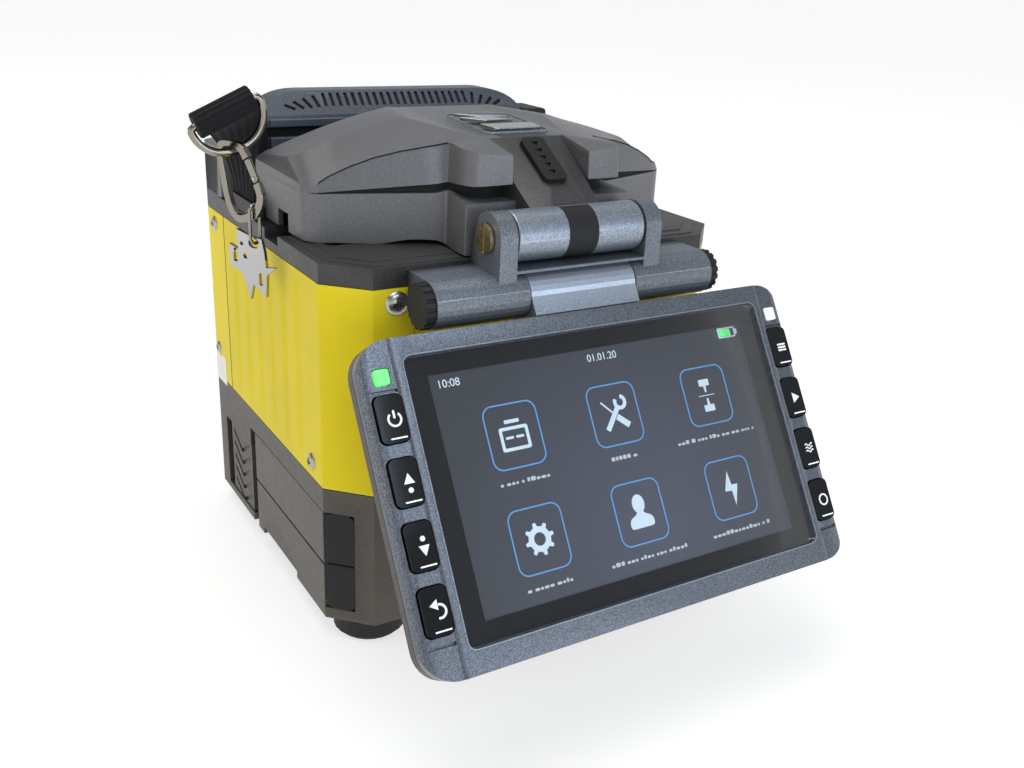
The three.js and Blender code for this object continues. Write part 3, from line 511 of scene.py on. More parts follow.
SIDES = ((-1, "left"), (1, "right"))
AXES = {"x": lambda a, b, c: (c, a, b), "y": lambda a, b, c: (a, c, b), "z": lambda a, b, c: (a, b, c)}


def prism(outline, axis, low, high):
    """A flat outline pushed along an axis: (y, z) points for x, (x, z) for y and (x, y) for z."""
    turn = AXES[axis]
    count = len(outline)
    vertices = [turn(a, b, low) for a, b in outline] + [turn(a, b, high) for a, b in outline]
    faces = [tuple(range(count)), tuple(range(2 * count - 1, count - 1, -1))]
    faces += [(i, i + count, (i + 1) % count + count, (i + 1) % count) for i in range(count)]
    return outward(polygons(vertices, faces))


def box(x, y, z):
    return prism([(x[0], y[0]), (x[1], y[0]), (x[1], y[1]), (x[0], y[1])], "z", *z)


def rounded(width, height, radius, x=0.0, z=0.0, steps=6):
    """The outline of a rectangle with round corners."""
    outline = []
    for corner, (sx, sz) in enumerate(((1, 1), (-1, 1), (-1, -1), (1, -1))):
        for i in range(steps + 1):
            angle = math.pi / 2 * (corner + i / steps)
            outline.append((
                x + sx * (width / 2 - radius) + radius * math.cos(angle),
                z + sz * (height / 2 - radius) + radius * math.sin(angle),
            ))
    return outline


def ring_prism(outer, inner, axis, low, high):
    """A flat ring between two outlines of equally many points, pushed along an axis."""
    turn = AXES[axis]
    n = len(outer)
    vertices = [turn(a, b, c) for c in (low, high) for line in (outer, inner) for a, b in line]
    faces = []
    for i in range(n):
        j = (i + 1) % n
        faces += [(i, j, n + j, n + i), (2 * n + i, 3 * n + i, 3 * n + j, 2 * n + j)]
        faces += [(i, 2 * n + i, 2 * n + j, j), (n + i, n + j, 3 * n + j, 3 * n + i)]
    return outward(polygons(vertices, faces))


def stroke(points, width, axis, low, high):
    """A line of the given width through points, as a thin solid."""
    left, right = [], []
    for i, point in enumerate(points):
        ahead = Vector(points[min(i + 1, len(points) - 1)])
        behind = Vector(points[max(i - 1, 0)])
        along = (ahead - behind).normalized()
        out = Vector((-along.y, along.x)) * width / 2
        left.append(tuple(Vector(point) + out))
        right.append(tuple(Vector(point) - out))
    return prism(left + right[::-1], axis, low, high)


def arc(radius, start, end, a=0.0, b=0.0, steps=20):
    """Points on an arc, with its angles in degrees from the first axis."""
    angles = [math.radians(start + (end - start) * i / steps) for i in range(steps + 1)]
    return [(a + radius * math.cos(t), b + radius * math.sin(t)) for t in angles]


def filleted(points, radius, steps=5):
    """A closed outline with each corner rounded."""
    count = len(points)
    outline = []
    for i in range(count):
        before, corner, after = (Vector(points[(i + k) % count]) for k in (-1, 0, 1))
        to_before, to_after = before - corner, after - corner
        start = corner + to_before.normalized() * min(radius, to_before.length * 0.48)
        end = corner + to_after.normalized() * min(radius, to_after.length * 0.48)
        for k in range(steps + 1):
            t = k / steps
            outline.append(tuple((1 - t) ** 2 * start + 2 * t * (1 - t) * corner + t * t * end))
    return outline


def loft(rings, closed=False):
    """A skin through rings of equally many points."""
    count = len(rings[0])
    spans = len(rings) if closed else len(rings) - 1
    faces = []
    for i in range(spans):
        for j in range(count):
            a, b = i * count, (i + 1) % len(rings) * count
            k = (j + 1) % count
            faces.append((a + j, a + k, b + k, b + j))
    if not closed:
        faces += [tuple(range(count)), tuple(range((len(rings) - 1) * count, len(rings) * count))]
    return outward(polygons([p for ring in rings for p in ring], faces))


def tube(points, radius, closed=True, sides=16):
    """A round wire along points."""
    points = [Vector(p) for p in points]
    count = len(points)
    normal = None
    rings = []
    for i, point in enumerate(points):
        ahead = points[(i + 1) % count] if closed or i < count - 1 else point
        behind = points[i - 1] if closed or i else point
        tangent = (ahead - behind).normalized()
        normal = normal or tangent.orthogonal()
        normal = (normal - tangent * normal.dot(tangent)).normalized()
        side = tangent.cross(normal)
        turns = [2 * math.pi * k / sides for k in range(sides)]
        rings.append([point + radius * (math.cos(t) * normal + math.sin(t) * side) for t in turns])
    return loft(rings, closed)


def lathe(profile, steps=48):
    """A solid turned about z, from (radius, height) points."""
    turns = [2 * math.pi * i / steps for i in range(steps)]
    return loft([[(r * math.cos(t), r * math.sin(t), z) for t in turns] for r, z in profile])


def facing(centre, normal):
    """A frame at a place whose z axis looks along a normal."""
    return Matrix.Translation(centre) @ Vector(normal).to_track_quat("Z", "Y").to_matrix().to_4x4()


def digits(text, size, x, z, depth):
    """Digits that stand on the screen's face and look out of it."""
    curve = bpy.data.curves.new("digits", "FONT")
    curve.body = text
    curve.size = size
    curve.extrude = 0.03
    curve.align_x = "CENTER"
    holder = placed("digits", curve)
    mesh = bpy.data.meshes.new_from_object(holder.evaluated_get(bpy.context.evaluated_depsgraph_get()))
    bpy.data.objects.remove(holder)
    mesh.transform(Matrix.Translation((x, depth, z)) @ Matrix.Rotation(math.pi / 2, 4, "X"))
    return mesh


def disc(radius, a=0.0, b=0.0, steps=40):
    return [
        (a + radius * math.cos(2 * math.pi * i / steps), b + radius * math.sin(2 * math.pi * i / steps))
        for i in range(steps)
    ]


def carve(mesh, *tools, operation="DIFFERENCE"):
    """The mesh with the tools cut away, or only what of it lies inside them."""
    body, cutter = placed("carved", mesh), placed("cutter", merged(*tools))
    cut = body.modifiers.new("cut", "BOOLEAN")
    cut.object = cutter
    cut.operation = operation
    cut.solver = "EXACT"
    cut.use_self = True
    shape = body.evaluated_get(bpy.context.evaluated_depsgraph_get())
    result = bpy.data.meshes.new_from_object(shape)
    for part in (body, cutter):
        old = part.data
        bpy.data.objects.remove(part)
        bpy.data.meshes.remove(old)
    return result


# ---- Wind cover ----

COVER_AXIS = (-9, 129.6)
COVER_WALL = 1.6
CREASES = [
    (-31, 21.5, 149.9), (-38.5, 24.3, 148.4), (-45.5, 26.8, 146.5), (-52, 29, 144), (-58, 31, 141),
    (-61.6, 32.4, 138.4),
]


def wall_at(x):
    """How far back the cover's sloped front wall stands at x on its left half."""
    return 15.2 + (-27.5 - x) * 0.455


def groove_at(x):
    """The groove's lower and upper edge and its depth, fading out towards the cover's corner."""
    fade = max(0.0, (62.5 + x) / 35)
    lip = 136.2 + 1.2 * fade
    return lip, lip + 0.3 + 2.6 * fade, 0.3 + 2.6 * fade ** 0.5


def cover_columns():
    """The left half of the cover's skin, from beside the arm round to its rear corner.

    Each column holds the foot, the lower band's lip, the two inner edges of the groove, the
    upper band's brow, its crease, the ridge and a point on the rear edge.
    """
    columns = [
        [(-10, 1.4, 122.1), (-10, 1.6, 136.8), (-10, 9, 136.8), (-10, 9, 141.6),
         (-10, 2.4, 141.6), (-10, 2.8, 149.4), (-10, 18, 152.3), (-4, 75, 154)],
        [(-26.6, 1.4, 122.1), (-26.4, 1.6, 136.8), (-19.5, 9, 136.8), (-19.5, 9, 141.5),
         (-22.8, 2.7, 141.4), (-22.4, 3.2, 150.4), (-12, 18, 152.3), (-6, 75, 154)],
        [(-28.6, 3.2, 122.1), (-28.4, 3.4, 136.8), (-22.5, 10.5, 137), (-22.5, 10.5, 141.3),
         (-25.8, 5.0, 141.2), (-25.2, 5.6, 150.9), (-13.5, 18, 152.3), (-8, 75, 154)],
        [(-28.5, 9, 122.1), (-28.3, 9.2, 137.3), (-24, 13.5, 137.4), (-24, 13.5, 141),
         (-27, 10.5, 140.9), (-26.2, 11, 151.2), (-14.5, 18, 152.3), (-10, 75, 154)],
        [(-27.6, 15, 122.1), (-27.4, 15.3, 138), (-25.4, 17.6, 138.2), (-25.4, 17.8, 140.2),
         (-26.6, 16.9, 140.3), (-25.3, 18.8, 151.2), (-15.5, 18.2, 152.3), (-13, 75, 154)],
    ]
    ridge = [
        (-20, 33, 153.3), (-26, 50, 154.2), (-34, 49.6, 152.1), (-44, 49.2, 149.6), (-53, 48.6, 147),
        (-58.5, 48, 145.2),
    ]
    rear = [
        (-17, 75, 154), (-20, 75, 154), (-30, 75, 151.9), (-41, 75, 148.8), (-50, 75, 145.8),
        (-56.5, 75, 143.4),
    ]
    for crease, crown, back in zip(CREASES, ridge, rear):
        x = crease[0] + 0.5
        wall = wall_at(x)
        lip, brow, depth = groove_at(x)
        foot = 123.4 if x > -44 else 122.1
        columns.append([
            (x, wall, foot), (x, wall + 0.2, lip), (x, wall + 0.2 + depth, lip + 0.1),
            (x, wall + 0.2 + depth, brow - 0.05), (x, wall + 0.3, brow), crease, crown, back,
        ])
    for (x, y), crease, crown, back in (
        ((-64.2, 33.4), (-63.8, 34.2, 138), (-60.8, 52, 143.9), (-59.5, 75, 142.2)),
        ((-65, 37.4), (-64.8, 38, 138.6), (-62.4, 56, 142.9), (-61.8, 75, 141.4)),
        ((-65, 56), (-64.9, 56.5, 139), (-63.2, 66, 141.8), (-62.8, 75, 140.9)),
        ((-65, 75), (-64.9, 75, 139.2), (-63.8, 75, 140.4), (-63.8, 75, 140.4)),
    ):
        columns.append([
            (x, y, 122.1), (x, y + 0.02, 136.2), (x, y + 0.03, 136.3), (x, y + 0.04, 136.4),
            (x, y + 0.05, 136.5), crease, crown, back,
        ])
    return columns


def in_between(columns, times=3):
    """More columns on smooth curves through the given ones, row by row."""
    result = []
    for i in range(len(columns) - 1):
        picked = [columns[max(0, min(len(columns) - 1, i + k))] for k in (-1, 0, 1, 2)]
        for step in range(times):
            t = step / times
            near, far = 3 * t ** 3, t ** 3 - t * t
            weights = (t * t - t - far, 2 - 5 * t * t + near, t + 4 * t * t - near, far)
            result.append([
                tuple(0.5 * sum(w * p[axis] for w, p in zip(weights, places)) for axis in range(3))
                for places in zip(*picked)
            ])
    return result + [columns[-1]]


def cover_skin():
    """The cover's hollow shell, skinned over its columns and their mirror images."""
    left = in_between(cover_columns())
    right = [[(-x, y, z) for x, y, z in column] for column in left]
    columns = left[::-1] + right
    rows = len(columns[0])
    vertices = [point for column in columns for point in column]
    faces = []
    for i in range(len(columns) - 1):
        for j in range(rows - 1):
            a, b = i * rows + j, (i + 1) * rows + j
            faces.append((a, b, b + 1, a + 1))
    last = (len(columns) - 1) * rows
    behind = [i * rows + rows - 1 for i in range(len(columns))]
    behind += [last + j for j in range(rows - 2, -1, -1)] + list(range(rows - 1))
    faces.append(tuple(behind))
    mesh = polygons(vertices, faces)
    work = bmesh.new()
    work.from_mesh(mesh)
    bmesh.ops.remove_doubles(work, verts=work.verts, dist=0.01)
    bmesh.ops.recalc_face_normals(work, faces=work.faces)
    if sum(f.normal.z * f.calc_area() for f in work.faces) < 0:
        bmesh.ops.reverse_faces(work, faces=work.faces)
    bmesh.ops.solidify(work, geom=work.faces, thickness=COVER_WALL)
    work.to_mesh(mesh)
    work.free()
    return mesh


def cover_arm():
    """The arm's sloped body, with a flat top strip and bevelled flanks, and the hinge barrel."""
    y, z = COVER_AXIS
    foot = [(7, y + 0.9, z + 7.35), (11.8, y + 1.5, z + 5.2), (11.8, y + 7, z - 1), (11.8, y + 4, z - 4)]
    root = [
        (7.4, 18.1, 152.35), (13.4, 18.1, 152.0), (13.4, 18, 138), (11.8, 16, 126),
        (7.4, 26, 152.6), (13.4, 27, 151),
    ]
    arm = hull(both_sides(foot + root))
    barrel = prism(disc(7.3, y, z, 72), "x", -21.4, 21.4)
    return arm, barrel


def strip(x, back, thick, low, high):
    """One section of the dark strip in the cover's groove: painted shade, a dark sheet where the groove's
    undercut lies in shadow.
    """
    return [(x, y, z) for y, z in ((back, low), (back, high), (back + thick, high), (back + thick, low))]


def add_cover():
    slots = [box((side - 4, side + 4), (46, 55), (118, 127.6)) for side in (-64, 64)]
    arm_gap = prism([(-3, 134.6), (17.9, 147.8), (17.9, 160), (-3, 160)], "x", -13.2, 13.2)
    show(
        "cover_shell", carve(cover_skin(), arm_gap, *slots), "cover_grey", "cover",
        bevel=0.55, smooth=13, replaces=["wind_cover"],
    )
    for side, label in SIDES:
        cheek = [
            (1.7, 122.4), (1.7, 136.7), (8.6, 136.8), (8.6, 141.7),
            (2.7, 141.7), (3.1, 149.1), (18, 152), (18.4, 126),
        ]
        low, high = sorted((side * 13.1, side * 14.6))
        show(f"cover_cheek_{label}", prism(cheek, "x", low, high), "cover_grey", "cover", 0.3)
        # Dark strips along the groove and in the recess under the shoulder: painted shade where these lie in
        # shadow.
        groove_shade, crease = [], []
        for x in [-30.2, -34, -38, -42, -46, -50, -54, -58, -61]:
            lip, brow, depth = groove_at(x)
            back = wall_at(x) + 0.5 + 0.35 * (depth - 0.3)
            groove_shade.append(strip(-side * x, back, 0.4, lip - 0.2, brow + 0.2))
        for x, back, low, high in (
            (-28.6, 17.7, 137.2, 140.3), (-26.6, 17.6, 137.4, 140.4), (-25.2, 13.9, 137.0, 141.0),
            (-23.4, 10.5, 136.8, 141.4), (-20, 8.4, 136.6, 141.6), (-11.5, 8.4, 136.6, 141.6),
        ):
            groove_shade.insert(0, strip(-side * x, back, 0.5, low, high))
        show(f"cover_groove_shade_{label}", loft(groove_shade), "dark_gap", "cover")
        # A thin dark line along each crease: painted shade where the crease meets the facet above it.
        bends = [(-25.6, 18.9, 151.2), *CREASES]
        for i in range(len(bends) - 1):
            a, b = Vector(bends[i]), Vector(bends[i + 1])
            crease += [a.lerp(b, k / 4) for k in range(4)]
        points = [Vector((-side * c.x, c.y, c.z)) + Vector((0, -0.02, 0.06)) for c in crease]
        show(f"cover_crease_shade_{label}", tube(points, 0.2, False, 8), "dark_gap", "cover", slot="cover_grey")
    arm, barrel = cover_arm()
    y, z = COVER_AXIS
    seat = prism(disc(9, y, z, 48), "x", -5.3, 5.3)
    core = prism(disc(5.6, y, z, 48), "x", -6, 6)
    notch = carve(carve(seat, box((-6, 6), (y + 1.2, y + 12), (110, 150))), core)
    # The arm is in the darker copy of the cover's grey: painted shade.
    show("cover_arm", carve(arm, notch), "arm_grey", "cover", bevel=0.6)
    # The barrel is in the lighter, bluish grey: a painted reflection of the window.
    show("cover_barrel", barrel, "hinge_grey", "cover", slot="cover_grey", bevel=0.5)
    add_cover_grip()
    add_badge()


def on_slope():
    """A frame on the arm's slope: x across, y down along it and z out of it."""
    top = Vector((0, 18, 152.3))
    along = (Vector((0, COVER_AXIS[0] + 1.5, COVER_AXIS[1] + 7.1)) - top).normalized()
    out = Vector((0, along.z, -along.y))
    turn = Matrix((along.cross(out), along, out)).transposed().to_4x4()
    return Matrix.Translation(top) @ turn


def add_cover_grip():
    """The rubber inlay on the arm, with five small arrows sunk in it."""
    outline = rounded(8, 18.4, 1.6, 0, 11.8)
    arrows = []
    for i in range(5):
        place = 5.4 + i * 3.1
        arrows.append(prism([(-1.2, place - 0.7), (1.2, place - 0.7), (0, place + 1.1)], "z", 1.3, 3))
    mesh = carve(prism(outline, "z", 0.2, 2.0), *arrows)
    show("cover_inlay", mesh, "rubber", "cover", 0.45, replaces=["cover_pad"], at=BODY @ on_slope())


def add_badge():
    """Blank chrome plates on the cover's plateau: a name plate without a name and a flash."""
    turn = Matrix.Rotation(math.atan2(1.9, 32), 4, "X")
    at = BODY @ Matrix.Translation((0, 36, 153.75)) @ turn
    plate = prism(filleted([(-6.5, -11.6), (9.8, -11.6), (10.2, -4.4), (-8.6, -4.4)], 1.2), "z", -0.2, 0.9)
    bolt = [(-3, 0.6), (7, 1.2), (1.6, 5.2), (8.6, 5.6), (-8.6, 12), (-2, 6.6), (-9.6, 6.0)]
    plates = merged(plate, prism(bolt, "z", -0.2, 0.8))
    show("cover_plates", plates, "chrome", "cover", 0.2, replaces=["cover_badge"], at=at)
    # A thin, lighter ring round the plateau's edge: a painted highlight where the edge catches the light.
    rim = ring_prism(rounded(23, 28.5, 3, 0.4, 0.4), rounded(22.2, 27.7, 2.6, 0.4, 0.4), "z", -0.3, 0.25)
    show("plateau_edge_highlight", rim, "hinge_grey", "cover", 0.08, slot="cover_grey", at=at)


# ---- Screen ----

KEY_ROWS = (22.8, 6.4, -10.0, -26.4)
KEY_X = 67
PICTURE = (2.3, 2.42)  # how deep the tiles and captions lie behind the bezel's face


def screen_bezel():
    """The bezel: a flat front between two flanks that slope back and round off at the edges."""
    half = [
        (62.0, 0.4), (62.9, 0.55), (63.6, 1.05), (66.5, 1.3), (69.4, 1.55),
        (71.2, 2.2), (72.4, 3.3), (73, 4.6), (73, 6),
    ]
    section = half + [(-x, y) for x, y in half[::-1]]
    body = prism(section, "z", -50, 50)
    outline = rounded(146, 88, 9, 0, -0.5, 12)
    body = carve(body, prism(outline, "y", -2, 8), operation="INTERSECT")
    tools = [
        prism(rounded(121.3, 76.4, 2.3), "y", -1, 2.2),
        prism(rounded(116.7, 71.8, 1), "y", -2, 7),
    ]
    for side in (-1, 1):
        tools += [prism(rounded(8, 13, 1.9, side * KEY_X, z), "y", -2, 7) for z in KEY_ROWS]
        tools.append(prism(rounded(4.6, 4.6, 0.8, side * KEY_X, 33.8), "y", -2, 7))
    for z in (29.9, -35.2):
        for side in (-1, 1):
            groove = [(side * 63.6, 0), (side * 71, 0), (side * 71, 2.6), (side * 63.6, 2.1)]
            tools.append(prism(groove, "z", z - 0.45, z + 0.45))
    return carve(body, *tools)


def on_screen(name, mesh, look, slot="display", bevel=0.0, body="screen"):
    show(name, mesh, look, body, bevel, slot=slot, at=SCREEN)


def pens(low, high):
    """A filled outline and a line of some width, both drawn on the screen between two depths."""

    def flat(outline):
        return prism(outline, "y", low, high)

    def line(points, width):
        return stroke(points, width, "y", low, high)

    return flat, line


def greeked(width, x, z):
    """A line of short dashes where the real screen shows a caption."""
    dashes = []
    place = x - width / 2
    while place < x + width / 2 - 0.8:
        length = min(random.uniform(0.7, 1.5), x + width / 2 - place)
        height = random.choice((0.75, 0.75, 1.15))
        middle = z + (height - 0.75) / 2
        dashes.append(prism(rounded(length, height, 0.3, place + length / 2, middle, 2), "y", *PICTURE))
        place += length + random.choice((0.35, 0.35, 0.35, 1.0))
    return dashes


def pictures():
    """The six tiles' glyphs, each drawn round its own middle."""
    low, high = 2.28, 2.42
    flat, line = pens(low, high)
    case = [
        ring_prism(rounded(9, 6.6, 0.7, 0, -0.8), rounded(7.2, 4.8, 0.3, 0, -0.8), "y", low, high),
        flat(rounded(4.6, 1.0, 0.2, 0, 3.9)),
        flat(rounded(2.4, 0.7, 0.2, -1.6, -0.5)), flat(rounded(2.4, 0.7, 0.2, 1.6, -0.5)),
    ]
    tools = [
        line([(-3.6, -4.2), (1.6, 2.2)], 1.5), line(arc(1.7, 75, -215, 2.5, 3.2), 1.1),
        line([(-4, 4), (0.2, -0.4)], 0.45), line([(0.5, -0.8), (4, -3.8)], 1.8),
    ]
    electrodes = [flat(rounded(3.8, 2, 0.2, 0, s * 3.9)) for s in (-1, 1)]
    electrodes += [flat([(-0.5, s * 3), (0.5, s * 3), (0.25, s * 0.9), (-0.25, s * 0.9)]) for s in (-1, 1)]
    electrodes.append(flat(rounded(6, 0.22, 0.1)))
    teeth = []
    for i in range(64):
        radius = 4.5 if i % 8 in (1, 2, 3) else 3.4
        teeth.append((radius * math.cos(2 * math.pi * i / 64), radius * math.sin(2 * math.pi * i / 64)))
    gear = [ring_prism(teeth, disc(1.8, steps=64), "y", low, high)]
    bust = [(-4.2, -4.4), (4.2, -4.4), (4.0, -1.6), (1.1, -0.4), (1, 1), (-1, 1), (-1.1, -0.4), (-4.0, -1.6)]
    person = [flat([(x * 0.9, z * 1.15 + 2.4) for x, z in disc(2.3)]), flat(filleted(bust, 1.3))]
    flash = [flat([(-0.2, 5), (-2.5, -0.7), (0, -0.9), (0.4, -5.2), (2.6, 0.8), (0.3, 0.9)])]
    return case, tools, electrodes, gear, person, flash


def add_screen():
    bezel = screen_bezel()
    # The bezel's cooler, lighter grey is a painted reflection of the window.
    show("bezel", bezel, "bezel_grey", "screen", 0.4, replaces=["screen_bezel"], at=SCREEN)
    # The lip round the glass is in the lighter, bluish grey: a painted reflection of the window.
    lip = ring_prism(rounded(121.9, 77, 2.6), rounded(121.2, 76.3, 2.3), "y", 0.24, 0.9)
    on_screen("glass_lip", lip, "hinge_grey", "cast_grey", 0.1)
    border = ring_prism(rounded(120.4, 75.5, 1.9), rounded(108, 64.8, 0.2), "y", 1.95, 2.1)
    on_screen("glass_border", border, "printed_black", "glass")
    glyphs, tiles, captions = [], [], []
    columns = (-32.7, 0.8, 34.8)
    widths = (15.5, 10, 30, 14.5, 27, 22)
    for index, picture in enumerate(pictures()):
        x = columns[index % 3]
        z = (12.6, -15.9)[index // 3]
        outer, inner = rounded(16.8, 17.8, 3.1, x, z), rounded(16.0, 17.0, 2.7, x, z)
        tiles.append(ring_prism(outer, inner, "y", *PICTURE))
        for mesh in picture:
            mesh.transform(Matrix.Translation((x, 0, z)))
            glyphs.append(mesh)
        captions += greeked(widths[index], x, z - 12.6)
    on_screen("screen_tiles", merged(*tiles), "tile_blue")
    on_screen("screen_glyphs", merged(*glyphs), "screen_ink")
    on_screen("screen_captions", merged(*captions), "screen_grey")
    clock = merged(digits("10:08", 3.1, -48.4, 28.6, 2.4), digits("01.01.20", 3.0, 1.2, 28.7, 2.4))
    on_screen("screen_clock", clock, "screen_ink")
    cell = ring_prism(rounded(6.8, 3.2, 0.5, 48.6, 30.4), rounded(6, 2.4, 0.2, 48.6, 30.4), "y", *PICTURE)
    tip = prism(rounded(0.8, 1.6, 0.3, 52.4, 30.4), "y", *PICTURE)
    on_screen("battery_outline", merged(cell, tip), "screen_ink")
    on_screen("battery_charge", prism(rounded(4.4, 2.2, 0.2, 47.9, 30.4), "y", *PICTURE), "screen_green")
    add_key_marks()


def add_key_marks():
    """White signs on the keys, each riding on its key, over a short bright line. The signs glow faintly as
    painted light, and the glowing line near each key's lower edge is a painted highlight.
    """
    flat, line = pens(0.6, 0.74)

    def triangle(up, z):
        return flat([(-1.5, z - up * 1.2), (1.5, z - up * 1.2), (0, z + up * 1.5)])

    waves = [
        [(-1.5 + 0.3 * i, z + 0.35 * math.sin(i * 0.9)) for i in range(11)] for z in (-0.9, 0.1, 1.1)
    ]
    signs = {
        "power": [line(arc(1.75, 130, 410), 0.55), flat(rounded(0.6, 2.1, 0.2, 0, 1.3))],
        "up": [triangle(1, 0.9), flat(disc(0.7, 0, -2))],
        "down": [flat(disc(0.7, 0, 2)), triangle(-1, -0.9)],
        "back": [line(arc(1.7, -110, 95, 0.2, 0), 0.6), flat([(-2.3, 1.7), (-0.1, 3.1), (-0.1, 0.4)])],
        "select": [flat(rounded(3.2, 0.55, 0.2, 0, s * 0.9)) for s in (-1, 0, 1)],
        "run": [flat([(-1.1, -1.6), (1.6, 0), (-1.1, 1.6)])],
        "heat": [line(wave, 0.35) for wave in waves],
        "stop": [line(arc(1.6, 0, 360), 0.5)],
    }
    for index, (key, pieces) in enumerate(signs.items()):
        side, row = (-1, index) if index < 4 else (1, index - 4)
        mesh = merged(*pieces)
        mesh.transform(Matrix.Translation((side * KEY_X + 0.7, 0, KEY_ROWS[row] - 0.2)))
        on_screen(f"sign_{key}", mesh, "ink", "white_light", body=f"key_{key}_body")
        # A painted highlight: a short glowing line near the key's lower edge.
        glint = flat(rounded(4.6, 0.4, 0.15, side * KEY_X + 0.8, KEY_ROWS[row] - 5.1))
        on_screen(f"line_{key}", glint, "white_light", "white_light", body=f"key_{key}_body")


# ---- Heater ----

LEDGE = (-50.5, 50.5)


def heater_lid():
    """The heater's lid: sloped front with a row of louvres that fan out at its ends."""
    points = [(51, 103.6, 144.3), (51, 121, 144.3)]
    for i in range(9):
        turn = math.pi / 2 * i / 8
        x, rise = 51 - 15.5 * (1 - math.cos(turn)), math.sin(turn)
        points += [(x, 104.4 + 7.1 * rise, 148 + 7.5 * rise), (x, 121, 148 + 7.5 * rise)]
    outside = hull(both_sides(points))
    up = Vector((0, 7.1, 7.3)).normalized()
    out = Vector((0, -up.z, up.y))
    tools = [box((-46, 46), (107, 118), (143, 147.5))]
    # Dark floors in the louvre slots: painted shade where the slots fall into shadow.
    floors = []
    count = 29
    for i in range(count):
        share = 2 * i / (count - 1) - 1
        bend = max(0.0, abs(share) - 0.72) / 0.28
        x = share * 39.5 + math.copysign(2.2 * bend, share)
        lean = math.copysign(bend * math.radians(62), share)
        middle = Vector((x, 108.9 - bend * 2.0, 152.55 - bend * 2.1)) + out * 0.2
        length = 5.6 - 1.6 * bend
        along = (up * math.cos(lean) + Vector((1, 0, 0)) * math.sin(lean)) * length / 2
        wide = along.cross(out).normalized() * 0.64
        for made, low, high in ((tools, -1.5, 1.2), (floors, -1.6, -0.7)):
            made.append(hull([
                middle + a * along + b * wide + c * out for a in (-1, 1) for b in (-1, 1) for c in (low, high)
            ]))
    return carve(outside, *tools), merged(*floors)


def add_heater():
    shell, floors = heater_lid()
    show("heater_cover_shell", shell, "heater_grey", "heater_cover", 0.3, replaces=["heater_lid"])
    # Painted shade: dark floors in the louvre slots.
    show("louvre_shade_floors", floors, "dark_gap", "heater_cover")
    upper, lower = box(LEDGE, (102.8, 104.4), (144.3, 147)), box(LEDGE, (102.2, 103.9), (137.2, 141))
    show("lid_ledge", upper, "heater_grey", "heater_cover", 0.4)
    show("heater_ledge", lower, "heater_grey", "body", 0.5)
    # Painted shade: a dark strip in the gap between the lid's ledge and the heater's ledge.
    gap = box((-51.6, 51.6), (104.4, 105.2), (139.5, 144.2))
    show("heater_gap_shade", gap, "dark_gap")
    for side, label in SIDES:
        low, high = sorted((side * 51.8, side * 61.5))
        cheek = box((low, high), (101.2, 119.5), (122, 148.4))
        show(f"heater_cheek_{label}", cheek, "black", "body", 1.4)


# ---- Panels, screws and sticker ----

SIDE_X = 69.3
FLUTE_DEPTH = 0.55


def add_screw(name, centre, normal, radius=3.6, look="steel", body="body", base=BODY):
    """A dome-headed screw with a cross recess."""
    shape = [(0.02, 1.7), (0.3, 1.64), (0.55, 1.42), (0.78, 1.05), (0.93, 0.6), (1.0, 0.15), (1.0, -0.4)]
    head = lathe([(r * radius, z * radius / 3.6) for r, z in shape])
    arm, deep = radius * 0.52, radius * 0.14
    head = carve(head, box((-arm, arm), (-deep, deep), (0.7, 3)), box((-deep, deep), (-arm, arm), (0.7, 3)))
    show(name, head, look, body, 0.08, slot="steel", at=base @ facing(centre, normal))


def add_panel_details():
    left, right, front = (-1, 0, 0), (1, 0, 0), (0, -1, 0)
    for side, normal in (("left", left), ("right", right)):
        x = normal[0] * SIDE_X
        add_screw(f"screw_{side}_rear_top", (x, 110, 111), normal, 2.6)
        add_screw(f"screw_{side}_rear_low", (x, 114, 63.5), normal, 2.2)
        add_screw(f"screw_{side}_front_low", (x, 19.9, 57.7), normal, 2.6)
        add_screw(f"screw_front_{side}", (normal[0] * 50.6, 0, 111.0), front)
        add_screw(f"screw_front_{side}_low", (normal[0] * 50.6, 0, 57.5), front, 2.6)
        add_screw(f"screw_back_{side}", (normal[0] * 56, 124, 111), (0, 1, 0), 2.6)
        add_screw(f"screw_back_{side}_low", (normal[0] * 56, 124, 57.5), (0, 1, 0), 2.6)
    for side, label in SIDES:
        node = f"{label}_side_panel"
        show(f"{label}_sheet", side_panel(side), "yellow", replaces=[node])
        seam = box(sorted((side * 68.5, side * 69.34)), (99.72, 100.22), (52.4, 115.6))
        show(f"{label}_seam", seam, "dark_gap")
    sheet = [
        (-69.42, 106.5), (-69.42, 118.0), (-66.6, 120.95),
        (-66.45, 120.8), (-69.28, 117.9), (-69.28, 106.5),
    ]
    show("blank_sticker", prism(sheet, "z", 50.5, 61), "sticker")


def side_panel(side):
    """A bent yellow sheet: front return, sloped corner and a long side with soft flutes."""
    levels = [52.3, 53.4, 55.5, 58, 60.5, 63, 70, 80, 90, 100, 106, 109, 111.5, 113.5, 115.5]
    rings = []
    for z in levels:
        fade = min(1.0, max(0.0, (z - 54) / 6), max(0.0, (114 - z) / 5))
        fade = fade * fade * (3 - 2 * fade)
        outer = [(45.3, 0), (57.4, 0), (58.0, 0.2), (69.1, 11.3), (SIDE_X, 11.9)]
        for i in range(118):
            y = 12.6 + i * 0.74
            share = (y - 25) % 12 / 6.5
            sunk = math.sin(math.pi * share) ** 2 if 25 < y < 92 and share < 1 else 0
            outer.append((SIDE_X - FLUTE_DEPTH * sunk * fade, y))
        outer += [(SIDE_X, 99.7), (67.3, 99.7), (67.3, 12.3), (57.0, 2), (45.3, 2)]
        rings.append([(side * x, y, z) for x, y in outer])
    return loft(rings)


# ---- Top frame ----

